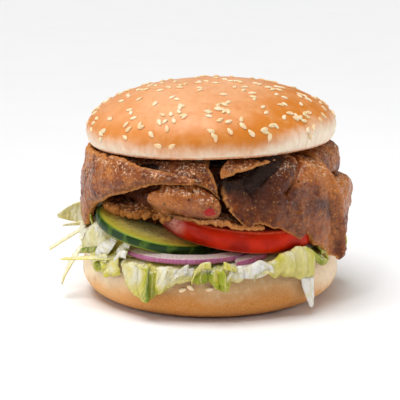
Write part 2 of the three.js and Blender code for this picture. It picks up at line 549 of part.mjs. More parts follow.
// Leaves that show in front and at the sides: each section runs from where the leaf is tucked in to its hem.
const LAID_LEAVES = [
  // Front leaf, folded in the middle
  {
    across: 6, down: 3,
    sections: [
      [[-131.5, 44, 23.1], [-131.5, 50, 22.4], [-131, 53, 20.6], [-130, 53.6, 18.6], [-129.6, 53.4, 17]],
      [[-128, 44, 23.1], [-128, 50.4, 22.4], [-127.4, 54.2, 22], [-126.6, 55, 15.6], [-125.6, 54, 12]],
      [[-124, 44, 23.1], [-124, 50.4, 22.5], [-123, 54.6, 22.4], [-121.6, 55.8, 13.6], [-121, 54.6, 8.6]],
      [[-120.5, 44, 23.1], [-120.5, 50.4, 22.5], [-119.4, 54.2, 21.6], [-118.6, 55, 13], [-118.4, 54.4, 8]],
      [[-117, 44, 23.1], [-116.6, 50, 22.3], [-116, 53, 20], [-115.6, 53.8, 13.6], [-115.6, 53.6, 9]],
      [[-113, 44, 23.1], [-113, 50.2, 22.3], [-112.6, 54, 21.6], [-112, 55, 15], [-112, 54, 11.6]],
      [[-108, 44, 23.1], [-108, 50.2, 22.3], [-108, 54, 21.8], [-107.6, 54.8, 17], [-107.4, 54, 14.2]],
      [[-102.5, 44, 23.1], [-102.5, 50, 22.3], [-102.5, 53.4, 21.4],
       [-102.5, 54, 18.6], [-102.5, 53.4, 16.8]],
      [[-96.5, 44, 23.1], [-96.5, 50, 22.3], [-96.4, 52.8, 21.4], [-96.2, 53.4, 19.6], [-96, 53, 17.8]],
    ],
  },
  // Left leaf
  {
    across: 3, down: 3,
    sections: [
      [[-156, 44, 22.8], [-156, 50, 22.4], [-155, 52.4, 20], [-154.4, 52.8, 18], [-154, 52.8, 17]],
      [[-150, 44, 22.9], [-150, 50.6, 23], [-149.4, 53.6, 20.6], [-149, 54, 17.4], [-149, 53.4, 14.8]],
      [[-144, 44, 22.9], [-144, 50.6, 22.8], [-143.6, 53, 20], [-143.4, 53.4, 17.2], [-143.4, 53, 15.4]],
      [[-138, 44, 23.1], [-138, 51, 23.2], [-137.4, 54, 20.4], [-137, 54.4, 17.4], [-137, 53.6, 15]],
      [[-131.5, 44, 22.9], [-131.5, 50.4, 22.8], [-131, 52.6, 20.6],
       [-130.6, 53, 18.6], [-130.4, 52.8, 17]],
    ],
  },
  // Green scrap under the onion
  {
    across: 1, down: 2,
    sections: [
      [[-98, 44, 23.1], [-98, 50, 22.3], [-98, 53, 21.4], [-98, 53.4, 19.4], [-98, 53, 17.6]],
      [[-94.5, 44, 23.1], [-94.5, 50.2, 22.3], [-94.5, 53.6, 21.6], [-94.5, 54.4, 19], [-94.5, 53.8, 16.6]],
      [[-91, 44, 23.1], [-91, 50, 22.3], [-91, 52.8, 21.4], [-91, 53.2, 19.4], [-91, 53, 17.8]],
    ],
  },
  // Middle leaf
  {
    across: 3, down: 2,
    sections: [
      [[-93.5, 44, 23.1], [-93, 50, 22.3], [-92.6, 53, 21.6], [-92, 53.6, 20.2], [-91.6, 53.4, 18.8]],
      [[-89, 44, 23.1], [-89, 50.2, 22.3], [-88.8, 54, 21.6], [-88.4, 55, 17.6], [-88, 54.4, 15]],
      [[-85, 44, 23.1], [-85, 50.2, 22.3], [-85, 54.2, 21.4], [-85.2, 55, 16.6], [-85.4, 54.2, 13.8]],
      [[-81, 44, 23.1], [-81, 50, 22.3], [-81, 53.4, 21], [-81.6, 54.2, 18], [-82, 53.6, 16]],
    ],
  },
  // Pale petal
  {
    across: 1, down: 2,
    sections: [
      [[-83, 44, 23.1], [-83, 50, 22.3], [-83, 52.6, 21.2], [-82.6, 53, 19.4], [-82.4, 52.8, 17.8]],
      [[-79.5, 44, 23.1], [-79.5, 50, 22.3], [-79.5, 53.4, 21.2], [-79.2, 53.8, 19], [-79, 53.2, 16.8]],
      [[-76, 44, 23.1], [-76, 50, 22.3], [-76, 52.6, 21.2], [-76.2, 53, 19.6], [-76.4, 52.8, 18]],
    ],
  },
  // White petal
  {
    across: 2, down: 2,
    sections: [
      [[-78.5, 45, 23.1], [-78.5, 50, 22.3], [-78.4, 52.6, 21.4], [-78.2, 53, 20], [-78, 52.8, 18.6]],
      [[-74, 45, 23.1], [-74, 50.4, 22.5], [-73.8, 53.6, 23.4], [-73.4, 54.6, 21], [-73.2, 53.4, 18]],
      [[-70, 45, 23.1], [-70, 50.6, 22.8], [-69.8, 53.4, 24.8], [-69.4, 54.8, 21.6], [-69, 53.4, 18.4]],
      [[-66.4, 45, 23.1], [-66.4, 50.4, 22.8], [-66.2, 53, 23.4], [-66, 53.2, 21], [-66, 53, 19.4]],
    ],
  },
  // Right leaf, ribbed, with a crest above the bun
  {
    across: 5, down: 4,
    sections: [
      [[-68, 44, 23.1], [-68, 50, 22.6], [-67.6, 52.4, 22.8], [-67.4, 53.4, 22.2],
       [-67, 53.6, 21.4], [-66.8, 53.4, 20.4]],
      [[-64, 44, 23.1], [-64, 50.4, 23], [-63.8, 53.2, 24.4], [-63.6, 54.8, 23],
       [-63.4, 54.6, 19.8], [-63.4, 53.4, 17.6]],
      [[-59.5, 44, 23.2], [-59.5, 50.8, 23.6], [-59.4, 53.6, 26.6], [-59.2, 55.4, 25.4],
       [-59.4, 55.4, 21], [-60, 53.8, 18.4]],
      [[-55, 44, 23.4], [-55, 51.2, 24], [-54.8, 54, 28], [-54.6, 56.2, 26.6],
       [-54.6, 56.4, 21], [-55, 54.6, 16.6]],
      [[-49.5, 44, 23.4], [-49.5, 51.4, 24], [-49.2, 54.2, 28.2], [-48.8, 56.4, 26],
       [-48.4, 56.6, 20], [-48.2, 54.8, 15.4]],
      [[-45, 44, 23.4], [-45, 50.8, 23.8], [-44.4, 53.6, 26.2], [-43.8, 55.6, 23.8],
       [-43, 55.2, 18.6], [-42.6, 54.2, 14.8]],
      [[-41, 44, 23.2], [-40.6, 50, 23], [-39.8, 52.8, 23.2], [-38.6, 54, 21],
       [-37.8, 54, 18.8], [-37.4, 53.6, 17.4]],
    ],
  },
  // White rib
  {
    across: 1, down: 3,
    sections: [
      [[-51.5, 46, 22.9], [-51.4, 52, 22], [-51, 54, 17], [-49.6, 54.4, 12],
       [-47.6, 54.6, 7.6], [-45.6, 54.6, 4.2]],
      [[-47.5, 46, 22.9], [-47.4, 52.4, 22.4], [-47, 54.8, 17], [-46.4, 55.2, 12],
       [-45.6, 55.2, 7], [-44.6, 55, 3.2]],
      [[-43.6, 46, 22.9], [-43.4, 52, 22], [-42.8, 54, 17], [-42.4, 54.4, 12],
       [-42.4, 54.6, 7.4], [-43, 54.6, 3.6]],
    ],
  },
  // Green leaf under the right slice
  {
    across: 2, down: 2,
    sections: [
      [[-52, 44, 23.6], [-52, 50, 24.6], [-51, 52.4, 26.4], [-50, 53.8, 26.4], [-49, 53.6, 24.8]],
      [[-45, 44, 23.4], [-45, 50, 24], [-44, 52.6, 25.8], [-43, 54, 24.6], [-42.4, 53.8, 22]],
      [[-38, 44, 23.2], [-38, 50, 23], [-37.6, 52.6, 23], [-37, 54.4, 20.6], [-37, 54, 18.2]],
      [[-32, 44, 23], [-32, 49.6, 22.6], [-31.6, 52.2, 21.6], [-31, 53.8, 19.8], [-31, 53.4, 17.6]],
    ],
  },
  // Far right leaf
  {
    across: 2, down: 2,
    sections: [
      [[6, 44, 25], [6, 51, 25.6], [6, 55, 24], [6, 57, 19.6], [7, 57, 15.4]],
      [[11, 44, 25.4], [11, 52, 26.6], [11, 56.6, 24.6], [11, 58, 19.6], [11, 57.6, 14.4]],
      [[17, 44, 25], [17, 51.4, 25.6], [17, 55.4, 23.4], [16.6, 57, 18.8], [16, 56.6, 14.8]],
    ],
  },
  // Pale leaf beside the cucumber
  {
    across: 3, down: 3,
    sections: [
      [[-178, 45, 31], [-178, 50, 30], [-177, 53, 28.6], [-175, 53.4, 25.6], [-173, 52.6, 22]],
      [[-170, 44, 30], [-169, 49, 28.6], [-168, 52.2, 27.6], [-167, 53.2, 24.8], [-166, 52.8, 21]],
      [[-160, 43, 32.4], [-159.4, 48, 32.8], [-158.6, 51.4, 29.6], [-158, 52.6, 25], [-158, 52.2, 21]],
      [[-151, 43, 30.6], [-150.6, 47.6, 30.8], [-150, 50.6, 28], [-149.6, 51.6, 25], [-149.6, 51.2, 22.4]],
      [[-143, 43, 28.6], [-143, 47, 28.8], [-142, 49.6, 27], [-141.6, 50.4, 24.8], [-141.6, 50.2, 22.8]],
    ],
  },
  // First petal on the left
  {
    across: 2, down: 1,
    sections: [
      [[-141, 49, 29.6], [-138, 50.4, 30], [-135.4, 51, 29.2]],
      [[-146.6, 50.8, 26.6], [-142.6, 52.4, 26], [-138.4, 51.8, 25]],
      [[-151, 51.6, 23], [-147.4, 53, 22], [-142.6, 52, 21.6]],
      [[-152.6, 51.4, 19.8], [-150.4, 52, 19.4], [-147.6, 51.6, 19.6]],
    ],
  },
  // Second petal on the left
  {
    across: 1, down: 1,
    sections: [
      [[-131.6, 49.4, 29], [-129.6, 50, 29.4], [-127.8, 50, 29]],
      [[-135, 50.6, 26.6], [-132.4, 51.6, 26.4], [-129.4, 50.8, 25.6]],
      [[-137, 50.8, 23], [-134.4, 51.4, 22.8], [-131.4, 51, 23]],
    ],
  },
  // Thin strip to the left
  {
    across: 3, down: 1,
    sections: [
      [[-132, 46, 23.2], [-132, 48, 23], [-132, 50, 22.8]],
      [[-139, 51.4, 22.6], [-139, 52.8, 22], [-139, 54, 21.4]],
      [[-147, 53.4, 21.4], [-147, 54.8, 20.8], [-147, 55.8, 20.2]],
      [[-155, 56.6, 19.8], [-155, 57.8, 19.3], [-155, 58.8, 18.8]],
      [[-163.3, 61, 17.6], [-163.3, 62, 17.3], [-163.3, 63, 17]],
    ],
  },
  // Tongue of leaf at the far left
  {
    across: 2, down: 1,
    sections: [
      [[172, 44, 37], [171, 44.6, 33], [170, 45, 28.4], [170, 45, 24.6]],
      [[172, 52, 36], [171, 53, 32], [170.4, 53.4, 28.4], [170.4, 53, 25]],
      [[171.6, 58.6, 33.6], [171, 59.4, 31], [170.6, 59.6, 28.4], [170.6, 59, 26.4]],
      [[171, 64.6, 29.2], [171, 65, 28.8], [170.8, 65, 28.2], [170.8, 64.6, 27.8]],
    ],
  },
  // Straight strip at the far left
  {
    across: 1, down: 1,
    sections: [
      [[-176, 46, 31.6], [-175, 46, 30.8], [-174, 46, 30]],
      [[-176.6, 66, 18.8], [-176, 66, 18.2], [-175.4, 66, 17.6]],
    ],
  },
  // Strip hanging at the left
  {
    across: 2, down: 1,
    sections: [
      [[-171, 45, 23.6], [-169, 45, 23.4], [-167, 45, 23.2]],
      [[-171, 51, 22.6], [-169, 51.4, 22], [-167, 51.6, 21.4]],
      [[-170, 56.4, 17.4], [-168, 56.8, 16], [-166.4, 56.8, 14.8]],
      [[-169, 59.8, 11.8], [-167.4, 60.2, 10.4], [-166, 60.2, 9.4]],
      [[-168, 61.6, 6.8], [-167, 62, 6], [-166.4, 61.8, 5.4]],
    ],
  },
];

const laidLeaf = ({ sections, ...counts }) => slab(loft(sections), { thick: LEAF, edge: 0.7, ...counts });

// Leaves over the edge of the bun at the back.
const BACK_LEAVES = [
  { from: 30, to: 52, tips: [19, 13, 18], reach: 53.6, across: 4 },
  { from: 70, to: 84, tips: [19, 16, 18], reach: 53.4, across: 2 },
  { from: 96, to: 122, tips: [18, 12, 15, 18], reach: 53.8, across: 4 },
  { from: 138, to: 156, tips: [18, 15, 18], reach: 53.4, across: 3 },
];

const SIDE_STRIP = { from: [20, 46, 23], heading: 14, length: 14, width: 4, droop: 0.8 };

// The bed that the leaves grow out of: it rises at the left, and lies flat at the front, where the leaves show.
function lettuceBed() {
  const { radius, from, to, sides, leftRise, leftSwell, flattened } = BED;
  const profile = [
    [0, from],
    [radius - 3, from + 0.4],
    [radius, 25],
    [radius - 3, 29],
    [radius - 10, to],
    [0, to],
  ];
  return turned(profile, sides, (p) => {
    const bearing = Math.atan2(p.y, p.x);
    const leftSide = Math.max(0, -Math.cos(bearing));
    const frontSide = Math.max(0, -Math.sin(bearing));
    const rise = p.z > 28 ? (leftRise * leftSide * Math.hypot(p.x, p.y)) / radius : 0;
    const out = 1 + (1.3 * lumps(p, 3, 3) + leftSwell * leftSide) / radius;
    const height = p.z + rise + (p.z > 24 ? 0.7 * lumps(p, 4, 9) : 0);
    return place(p.x * out, p.y * out, from + (height - from) * (1 - flattened * frontSide ** 2));
  });
}

// Short shreds between the bun and the fillings, from the right side round the back to the left.
function shreds() {
  const draw = draws(77);
  const { first, last, count } = SHREDS;
  const strips = [];
  for (let i = 0; i < count; i++) {
    const bearing = first + ((last - first) * (i + 0.6 * draw())) / count;
    strips.push(strip({
      from: [bearing, 42 + 2 * draw(), 24 + 3.5 * draw()],
      heading: bearing + 50 * (draw() - 0.5),
      length: 9 + 4 * draw(),
      width: 2.6 + 3 * draw(),
      droop: 0.2 + 0.25 * draw(),
      twist: 70 * (draw() - 0.5),
    }));
  }
  return strips;
}

// ---- Assembly ----

function meshOf(name, solid, colour, roughness = 0.6, smoothed = SMOOTHED) {
  const { numProp, numVert, vertProperties, triVerts } = biggest(solid.simplify(smoothed)).getMesh();
  const positions = new Float32Array(numVert * 3);
  for (let i = 0; i < numVert; i++) {
    positions.set(vertProperties.subarray(i * numProp, i * numProp + 3), i * 3);
  }
  const geometry = new THREE.BufferGeometry();
  geometry.setAttribute("position", new THREE.BufferAttribute(positions, 3));
  geometry.setIndex(new THREE.BufferAttribute(triVerts, 1));
  const material = new THREE.MeshStandardMaterial({ color: colour, roughness, flatShading: true });
  const mesh = new THREE.Mesh(geometry, material);
  mesh.name = name;
  return mesh;
}

const burger = new THREE.Group();
const cutters = []; // the grown forms of the pieces made so far

// Adds a piece as a named mesh, cut clear of the pieces before it; grown is its form a gap larger all round.
function add(name, solid, grown, colour, roughness, smoothed) {
  burger.add(meshOf(name, without(solid, cutters), colour, roughness, smoothed));
  if (grown) cutters.push(grown);
}

add("bottom_bun", heel(), heel(GAP), COLOURS.heel, 0.7);
add("top_bun", join([crownBody(), ...crownSeeds()]), crownBody(GAP), COLOURS.crust, 0.45);
add("tomato", roundSlice(TOMATO), roundSlice(TOMATO, GAP), COLOURS.tomato, 0.25);
add("cucumber", roundSlice(CUCUMBER), roundSlice(CUCUMBER, GAP), COLOURS.cucumber, 0.3);
for (const [name, ring] of Object.entries(ONION_RINGS)) {
  add(name, onionRing(ring), onionRing(ring, GAP), COLOURS.onion, 0.3);
}
const lump = without(pile(), [roomFor(TOMATO, -12), roomFor(CUCUMBER, -12)]);
add("meat_pile", lump, pile(GAP), COLOURS.roastDark);
for (const [name, layers] of Object.entries(SLICES)) {
  add(name, doner(layers), doner(layers, GAP), name === "meat_crumb" ? COLOURS.crumb : COLOURS.roast, 0.4);
}
const bed = without(lettuceBed(), [roomFor(TOMATO, 12), roomFor(CUCUMBER, 12)]);
const leaves = [...LAID_LEAVES.map(laidLeaf), ...BACK_LEAVES.map(hangingLeaf)];
const strips = [strip(SIDE_STRIP), ...shreds()];
add("lettuce", join([bed, ...leaves, ...strips]), null, COLOURS.lettuce, 0.4, LEAF_SMOOTHED);

export default burger;
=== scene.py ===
import bpy
import numpy as np
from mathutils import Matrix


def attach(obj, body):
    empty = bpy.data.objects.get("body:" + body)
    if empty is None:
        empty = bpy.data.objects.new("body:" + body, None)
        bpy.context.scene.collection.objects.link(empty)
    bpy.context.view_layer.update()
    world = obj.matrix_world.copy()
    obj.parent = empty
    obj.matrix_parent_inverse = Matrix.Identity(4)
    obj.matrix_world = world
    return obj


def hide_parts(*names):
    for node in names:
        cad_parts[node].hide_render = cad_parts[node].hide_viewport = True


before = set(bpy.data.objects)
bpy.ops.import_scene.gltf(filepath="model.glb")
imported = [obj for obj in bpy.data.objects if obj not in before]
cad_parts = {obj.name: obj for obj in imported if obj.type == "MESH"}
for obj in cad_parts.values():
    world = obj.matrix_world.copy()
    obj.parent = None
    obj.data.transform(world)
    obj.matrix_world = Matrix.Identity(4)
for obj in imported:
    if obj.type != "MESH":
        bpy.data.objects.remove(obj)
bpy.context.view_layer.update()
mm = 0.001
print("frame loaded")

# Camera, light and floor

camera = {"target": (-4.2, 0, 37.5), "distance": 600, "elevation": 12.5, "lens": 131.7, "sensor": 36,
          "clip": 10}
lights = [
    {"name": "leftLight", "at": (-520, -260, 210), "size": 300, "watts": 0.68},
    {"name": "rightLight", "at": (540, -100, 190), "size": 240, "watts": 0.72},
    {"name": "frontLight", "at": (40, -600, 330), "size": 50, "watts": 0.16},
    {"name": "highLight", "at": (-160, -330, 560), "size": 60, "watts": 0.3},
]
litAt = (0, 0, 40)
sun = {"from": (-200, -80, 970), "strength": 2.85, "spread": 44}
sky = {"tint": (1.0, 1.0, 1.0), "strength": 0.17}


def put(name, data):  # a new object in the scene
    thing = bpy.data.objects.new(name, data)
    bpy.context.collection.objects.link(thing)
    return thing


def stand(name, data, at, target):  # a camera or a lamp at one place, facing another
    thing = put(name, data)
    thing.location = np.array(at) * mm
    way = np.array(target) * mm - np.array(thing.location)
    flat = np.hypot(way[0], way[1])
    thing.rotation_euler = (np.arctan2(flat, -way[2]), 0, np.arctan2(-way[0], way[1]))
    return thing


def setCamera():
    lean = np.radians(camera["elevation"])
    target = np.array(camera["target"])
    away = np.array([0, -np.cos(lean), np.sin(lean)]) * camera["distance"]
    data = bpy.data.cameras.new("burgerCamera")
    data.lens = camera["lens"]
    data.sensor_width = camera["sensor"]
    data.clip_start = camera["clip"] * mm
    bpy.context.scene.camera = stand("burgerCamera", data, target + away, target)


def setLights():
    for lamp in lights:
        data = bpy.data.lights.new(lamp["name"], "AREA")
        data.size = lamp["size"] * mm
        data.energy = lamp["watts"]
        stand(lamp["name"], data, lamp["at"], litAt)
    data = bpy.data.lights.new("overheadLight", "SUN")
    data.energy = sun["strength"]
    data.angle = np.radians(sun["spread"])
    stand("overheadLight", data, sun["from"], (0, 0, 0))
    world = bpy.data.worlds.new("studio")
    world.use_nodes = True
    backdrop = world.node_tree.nodes["Background"]
    backdrop.inputs["Color"].default_value = (*sky["tint"], 1)
    backdrop.inputs["Strength"].default_value = sky["strength"]
    bpy.context.scene.world = world
    bpy.context.scene.view_settings.view_transform = "Standard"


setCamera()
setLights()
print("camera and lights set")

# Shader nodes as expressions


def tint(red, green, blue):  # a colour as a picture gives it, 0 to 255, made linear
    shares = np.array([red, green, blue]) / 255
    linear = np.where(shares <= 0.04045, shares / 12.92, ((shares + 0.055) / 1.055) ** 2.4)
    return (*linear.tolist(), 1.0)


class Wire:
    def __init__(self, board, socket):
        self.board = board
        self.socket = socket

    def __add__(self, other):
        return self.board.maths("ADD", self, other)

    __radd__ = __add__

    def __sub__(self, other):
        return self.board.maths("SUBTRACT", self, other)

    def __rsub__(self, other):
        return self.board.maths("SUBTRACT", other, self)

    def __mul__(self, other):
        return self.board.maths("MULTIPLY", self, other)

    __rmul__ = __mul__

    def __truediv__(self, other):
        return self.board.maths("DIVIDE", self, other)

    def ramp(self, low, high):  # 0 at low, 1 at high, smooth between
        values = {"Value": self, "From Min": low, "From Max": high}
        return self.board.add("ShaderNodeMapRange", {"interpolation_type": "SMOOTHSTEP"}, values)


class Board:
    def __init__(self, name, **fixed):
        self.material = bpy.data.materials.new(name)
        self.material.use_nodes = True
        self.tree = self.material.node_tree
        self.shader = self.tree.nodes["Principled BSDF"]
        for key, value in fixed.items():
            self.shader.inputs[key].default_value = value

    def add(self, kind, settings=None, values=None, output=0):
        node = self.tree.nodes.new(kind)
        for key, value in (settings or {}).items():
            setattr(node, key, value)
        for key, value in (values or {}).items():
            self.feed(node.inputs[key], value)
        return Wire(self, node.outputs[output])

    def feed(self, socket, value):
        if isinstance(value, Wire):
            self.tree.links.new(value.socket, socket)
        else:
            socket.default_value = value

    def maths(self, operation, *terms):
        return self.add("ShaderNodeMath", {"operation": operation}, dict(enumerate(terms)))

    def spot(self):  # the place on the piece, in metres
        return self.add("ShaderNodeTexCoord", output="Object")

    def chart(self):  # the piece's own flat map
        return self.add("ShaderNodeUVMap", {"uv_map": "chart"})

    def mark(self, name):
        return self.add("ShaderNodeAttribute", {"attribute_name": name}, output="Fac")

    def parts(self, vector):
        split = self.add("ShaderNodeSeparateXYZ", None, {"Vector": vector})
        return [Wire(self, output) for output in split.socket.node.outputs]

    def stretched(self, vector, scale):
        return self.add("ShaderNodeMapping", None, {"Vector": vector, "Scale": scale})

    def noise(self, vector, size, detail=3, rough=0.5):  # size in millimetres
        values = {"Vector": vector, "Scale": 1 / (size * mm), "Detail": detail, "Roughness": rough}
        return self.add("ShaderNodeTexNoise", None, values)

    def cells(self, vector, size, feature="F1"):  # distances in cells of that many millimetres
        values = {"Vector": vector, "Scale": 1 / (size * mm)}
        return self.add("ShaderNodeTexVoronoi", {"feature": feature}, values, "Distance")

    def mix(self, share, first, second):  # a colour is a wire or the three numbers that tint takes
        first, second = (tint(*color) if isinstance(color, tuple) else color for color in (first, second))
        return self.add("ShaderNodeMix", {"data_type": "RGBA"}, {0: share, 6: first, 7: second}, 2)

    def finish(self, color, roughness=None, height=None, depth=0.3, coat=None):  # depth of the relief in mm
        self.feed(self.shader.inputs["Base Color"], color)
        if roughness is not None:
            self.feed(self.shader.inputs["Roughness"], roughness)
        if coat is not None:
            self.feed(self.shader.inputs["Coat Weight"], coat)
        if height is not None:
            values = {"Height": height, "Distance": depth * mm, "Strength": 1.0}
            self.feed(self.shader.inputs["Normal"], self.add("ShaderNodeBump", None, values))
        return self.material


# Shapes

def turnedBy(points, pitch, roll, at):  # tipped down to the front by pitch, down to the right by roll
    p, r = np.radians([pitch, roll])
    tip = np.array([[1, 0, 0], [0, np.cos(p), -np.sin(p)], [0, np.sin(p), np.cos(p)]])
    lean = np.array([[np.cos(r), 0, np.sin(r)], [0, 1, 0], [-np.sin(r), 0, np.cos(r)]])
    return points @ (lean @ tip).T + np.array(at)


def placed(rounds):  # [bearing, radius, height] to x, y, z
    rounds = np.asarray(rounds, float)
    bearing = np.radians(rounds[..., 0])
    return np.stack([rounds[..., 1] * np.cos(bearing), rounds[..., 1] * np.sin(bearing), rounds[..., 2]], -1)


def latticeDraw(cell, seed):
    mixed = cell[..., 0] * 73856093 ^ cell[..., 1] * 19349663 ^ cell[..., 2] * 83492791 ^ int(seed) * 7919
    mixed = (mixed ^ mixed >> 13) * 1274126177
    return ((mixed ^ mixed >> 16) & 0xFFFFF) / 0xFFFFF


def swells(points, size, seed=0):  # smooth noise from -1 to 1
    scaled = points / size + 200.5
    cell = np.floor(scaled).astype(np.int64)
    part = scaled - cell
    part = part * part * (3 - 2 * part)
    total = 0
    for corner in range(8):
        step = np.array([corner & 1, corner >> 1 & 1, corner >> 2])
        weight = np.prod(np.where(step, part, 1 - part), axis=-1)
        total = total + weight * latticeDraw(cell + step, seed)
    return 2 * total - 1


def crags(points, size, octaves, seed=0):
    return sum(swells(points, size / 2**k, seed + 17 * k) / 2**k for k in range(octaves))


def wavering(share, length, size, seed):  # crags along a line of that length
    line = np.stack([share * length, np.zeros_like(share) + seed * 3.7, np.zeros_like(share)], -1)
    return crags(line, size, 3, seed)


def lumps(points, size, seed=0):  # the same smooth lumps as the CAD's
    x, y, z = (points[..., k] / size for k in range(3))
    first = np.sin(x * 1.7 + y * 1.1 + seed) + np.sin(y * 2.3 - z * 1.3 + seed * 2.1)
    return (first + np.sin(z * 1.9 + x * 0.7 + seed * 3.7)) / 3


def uneven(bearing, depth, seed):  # how far a round form stands out of true, as in the CAD
    swell = np.sin(2 * bearing + seed) + 0.6 * np.sin(3 * bearing + seed * 2)
    return depth * (swell + 0.35 * np.sin(5 * bearing + seed * 3))


def curveWeights(count, shares):  # how much each of count even points counts at each share of a smooth curve
    shares = np.asarray(shares, float)
    last = count - 1
    step = np.clip(np.floor(shares * last), 0, last - 1).astype(int)
    s = shares * last - step
    taps = [
        0.5 * (-s + 2 * s**2 - s**3),
        1 + 0.5 * (-5 * s**2 + 3 * s**3),
        0.5 * (s + 4 * s**2 - 3 * s**3),
        0.5 * (-(s**2) + s**3),
    ]
    weights = np.zeros(shares.shape + (count,))
    for shift, tap in zip((-1, 0, 1, 2), taps):
        slot = np.clip(step + shift, 0, last)[..., None]
        old = np.take_along_axis(weights, slot, -1)
        np.put_along_axis(weights, slot, old + tap[..., None], -1)
    return weights


def curveAt(points, shares):
    return curveWeights(len(points), shares) @ np.asarray(points, float)


def surfaceAt(sections, u, v):
    grid = placed(sections)
    rows = np.einsum("abs,spk->abpk", curveWeights(grid.shape[0], u), grid)
    return np.einsum("abp,abpk->abk", curveWeights(grid.shape[1], v), rows)


def evenRow(points, count):  # the same outline with count evenly spaced points
    points = np.asarray(points, float)
    length = np.concatenate([[0], np.cumsum(np.linalg.norm(np.diff(points, axis=0), axis=1))])
    spots = np.linspace(0, length[-1], count)
    return np.stack([np.interp(spots, length, points[:, k]) for k in range(points.shape[1])], -1)


def arc(middle, reach, first, last, steps):
    angle = np.radians(np.linspace(first, last, steps + 1))
    return np.stack([middle[0] + reach[0] * np.cos(angle), middle[1] + reach[1] * np.sin(angle)], -1).tolist()


def unit(vectors):
    return vectors / np.maximum(np.linalg.norm(vectors, axis=-1, keepdims=True), 1e-9)


def polar(points):  # each point's bearing in radians and its radius
    return np.arctan2(points[..., 1], points[..., 0]), np.hypot(points[..., 0], points[..., 1])


def sheetGrid(across, down):  # shares from 0 to 1 across a sheet and down it
    return np.meshgrid(np.linspace(0, 1, across), np.linspace(0, 1, down), indexing="ij")


def facing(grid):  # which way a grid of points looks at each of them
    return unit(np.cross(np.gradient(grid, axis=0), np.gradient(grid, axis=1)))


def lifted(grid, height):  # the grid raised the way it looks
    return grid + facing(grid) * height[..., None]


def bump(*away):  # 1 where every part is 0, and smoothly less round it
    return np.exp(-sum(part**2 for part in away))


def spans(sections, line):  # how wide a sheet is along its hem, and how far it falls down its middle
    hem = surfaceAt(sections, line[:, None], np.ones((len(line), 1)))[:, 0]
    fall = surfaceAt(sections, np.full((1, 9), 0.5), np.linspace(0, 1, 9)[None])[0]
    return [np.linalg.norm(np.diff(run, axis=0), axis=1).sum() for run in (hem, fall)]


def nibbled(count, length, size, seed, least):  # how deep a side is nibbled at count places down its length
    return np.clip(least + wavering(np.linspace(0, 1, count), length, size, seed), 0, None)


def turnedShape(profile, fine):  # a closed shape, turned from a profile that starts and ends on its axis
    count, sides = fine
    profile = evenRow(profile, count)
    inner = profile[1:-1]
    bearing = np.linspace(0, 2 * np.pi, sides, endpoint=False)
    ring = np.stack([np.cos(bearing), np.sin(bearing)], -1)
    rows = np.concatenate([inner[:, None, :1] * ring[None], np.repeat(inner[:, None, 1:], sides, 1)], -1)
    points = np.concatenate([rows.reshape(-1, 3), [[0, 0, profile[0][1]], [0, 0, profile[-1][1]]]])
    index = np.arange(len(inner) * sides).reshape(len(inner), sides)
    beside = np.roll(index, -1, 1)
    quads = np.stack([index[:-1], beside[:-1], beside[1:], index[1:]], -1).reshape(-1, 4)
    low = np.full(sides, index.size)
    tris = np.concatenate([
        np.stack([low, beside[0], index[0]], -1),
        np.stack([index[-1], beside[-1], low + 1], -1),
    ])
    return points, quads, tris


def slabShape(middle, thick, rounding, relief):
    # A closed sheet round a grid of points: its edges are rounded off, and relief lifts both its faces.
    nu, nv = middle.shape[:2]
    up = facing(middle)
    stepU, stepV = (np.linalg.norm(np.diff(middle, axis=k), axis=-1) for k in (0, 1))
    fromU = np.concatenate([np.zeros((1, nv)), np.cumsum(stepU, 0)])
    fromV = np.concatenate([np.zeros((nu, 1)), np.cumsum(stepV, 1)], 1)
    toU, toV = fromU[-1:] - fromU, fromV[:, -1:] - fromV
    edge = np.minimum(np.minimum(fromU, toU), np.minimum(fromV, toV))
    near = np.clip(edge / (thick / 2 * rounding), 0, 1)
    half = thick / 2 * (0.1 + 0.9 * np.sqrt(1 - (1 - near) ** 2))
    faces = []
    for side in (1, -1):
        face = middle + up * (side * half)[..., None]
        if relief:
            lift = half + relief(face, side, edge) * (0.3 + 0.7 * near)
            face = middle + up * (side * lift)[..., None]
        faces.append(face.reshape(-1, 3))
    top = np.arange(nu * nv).reshape(nu, nv)
    low = top + nu * nv

    def wall(first, second):
        return np.stack([second[:-1], second[1:], first[1:], first[:-1]], -1)

    quads = np.concatenate([
        np.stack([top[:-1, :-1], top[1:, :-1], top[1:, 1:], top[:-1, 1:]], -1).reshape(-1, 4),
        np.stack([low[:-1, :-1], low[:-1, 1:], low[1:, 1:], low[1:, :-1]], -1).reshape(-1, 4),
        wall(top[:, 0], low[:, 0]),
        wall(top[::-1, -1], low[::-1, -1]),
        wall(top[0, ::-1], low[0, ::-1]),
        wall(top[-1], low[-1]),
    ])
    chart = np.tile(np.stack([fromU, fromV], -1).reshape(-1, 2), (2, 1))
    return {"points": np.concatenate(faces), "quads": quads, "chart": chart * mm,
            "marks": {"edge": np.tile(edge.ravel(), 2)}}


def sheetShape(middle, thick, relief=None):  # a slab marked with how far each point looks up and outwards
    shape = slabShape(middle, thick, 1.0, relief)
    # This mark stands for the light: the looks paint shade where it is low and highlights where it is high.
    catch = []
    for side, face in zip((1, -1), shape["points"].reshape(2, *middle.shape)):
        outward = unit(face * [1, 1, 0]) * 0.57 + np.array([0, 0, 0.82])  # outwards and 55 degrees up
        catch.append(side * (facing(face) * outward).sum(-1))
    shape["marks"]["catch"] = np.stack(catch).ravel()
    return shape


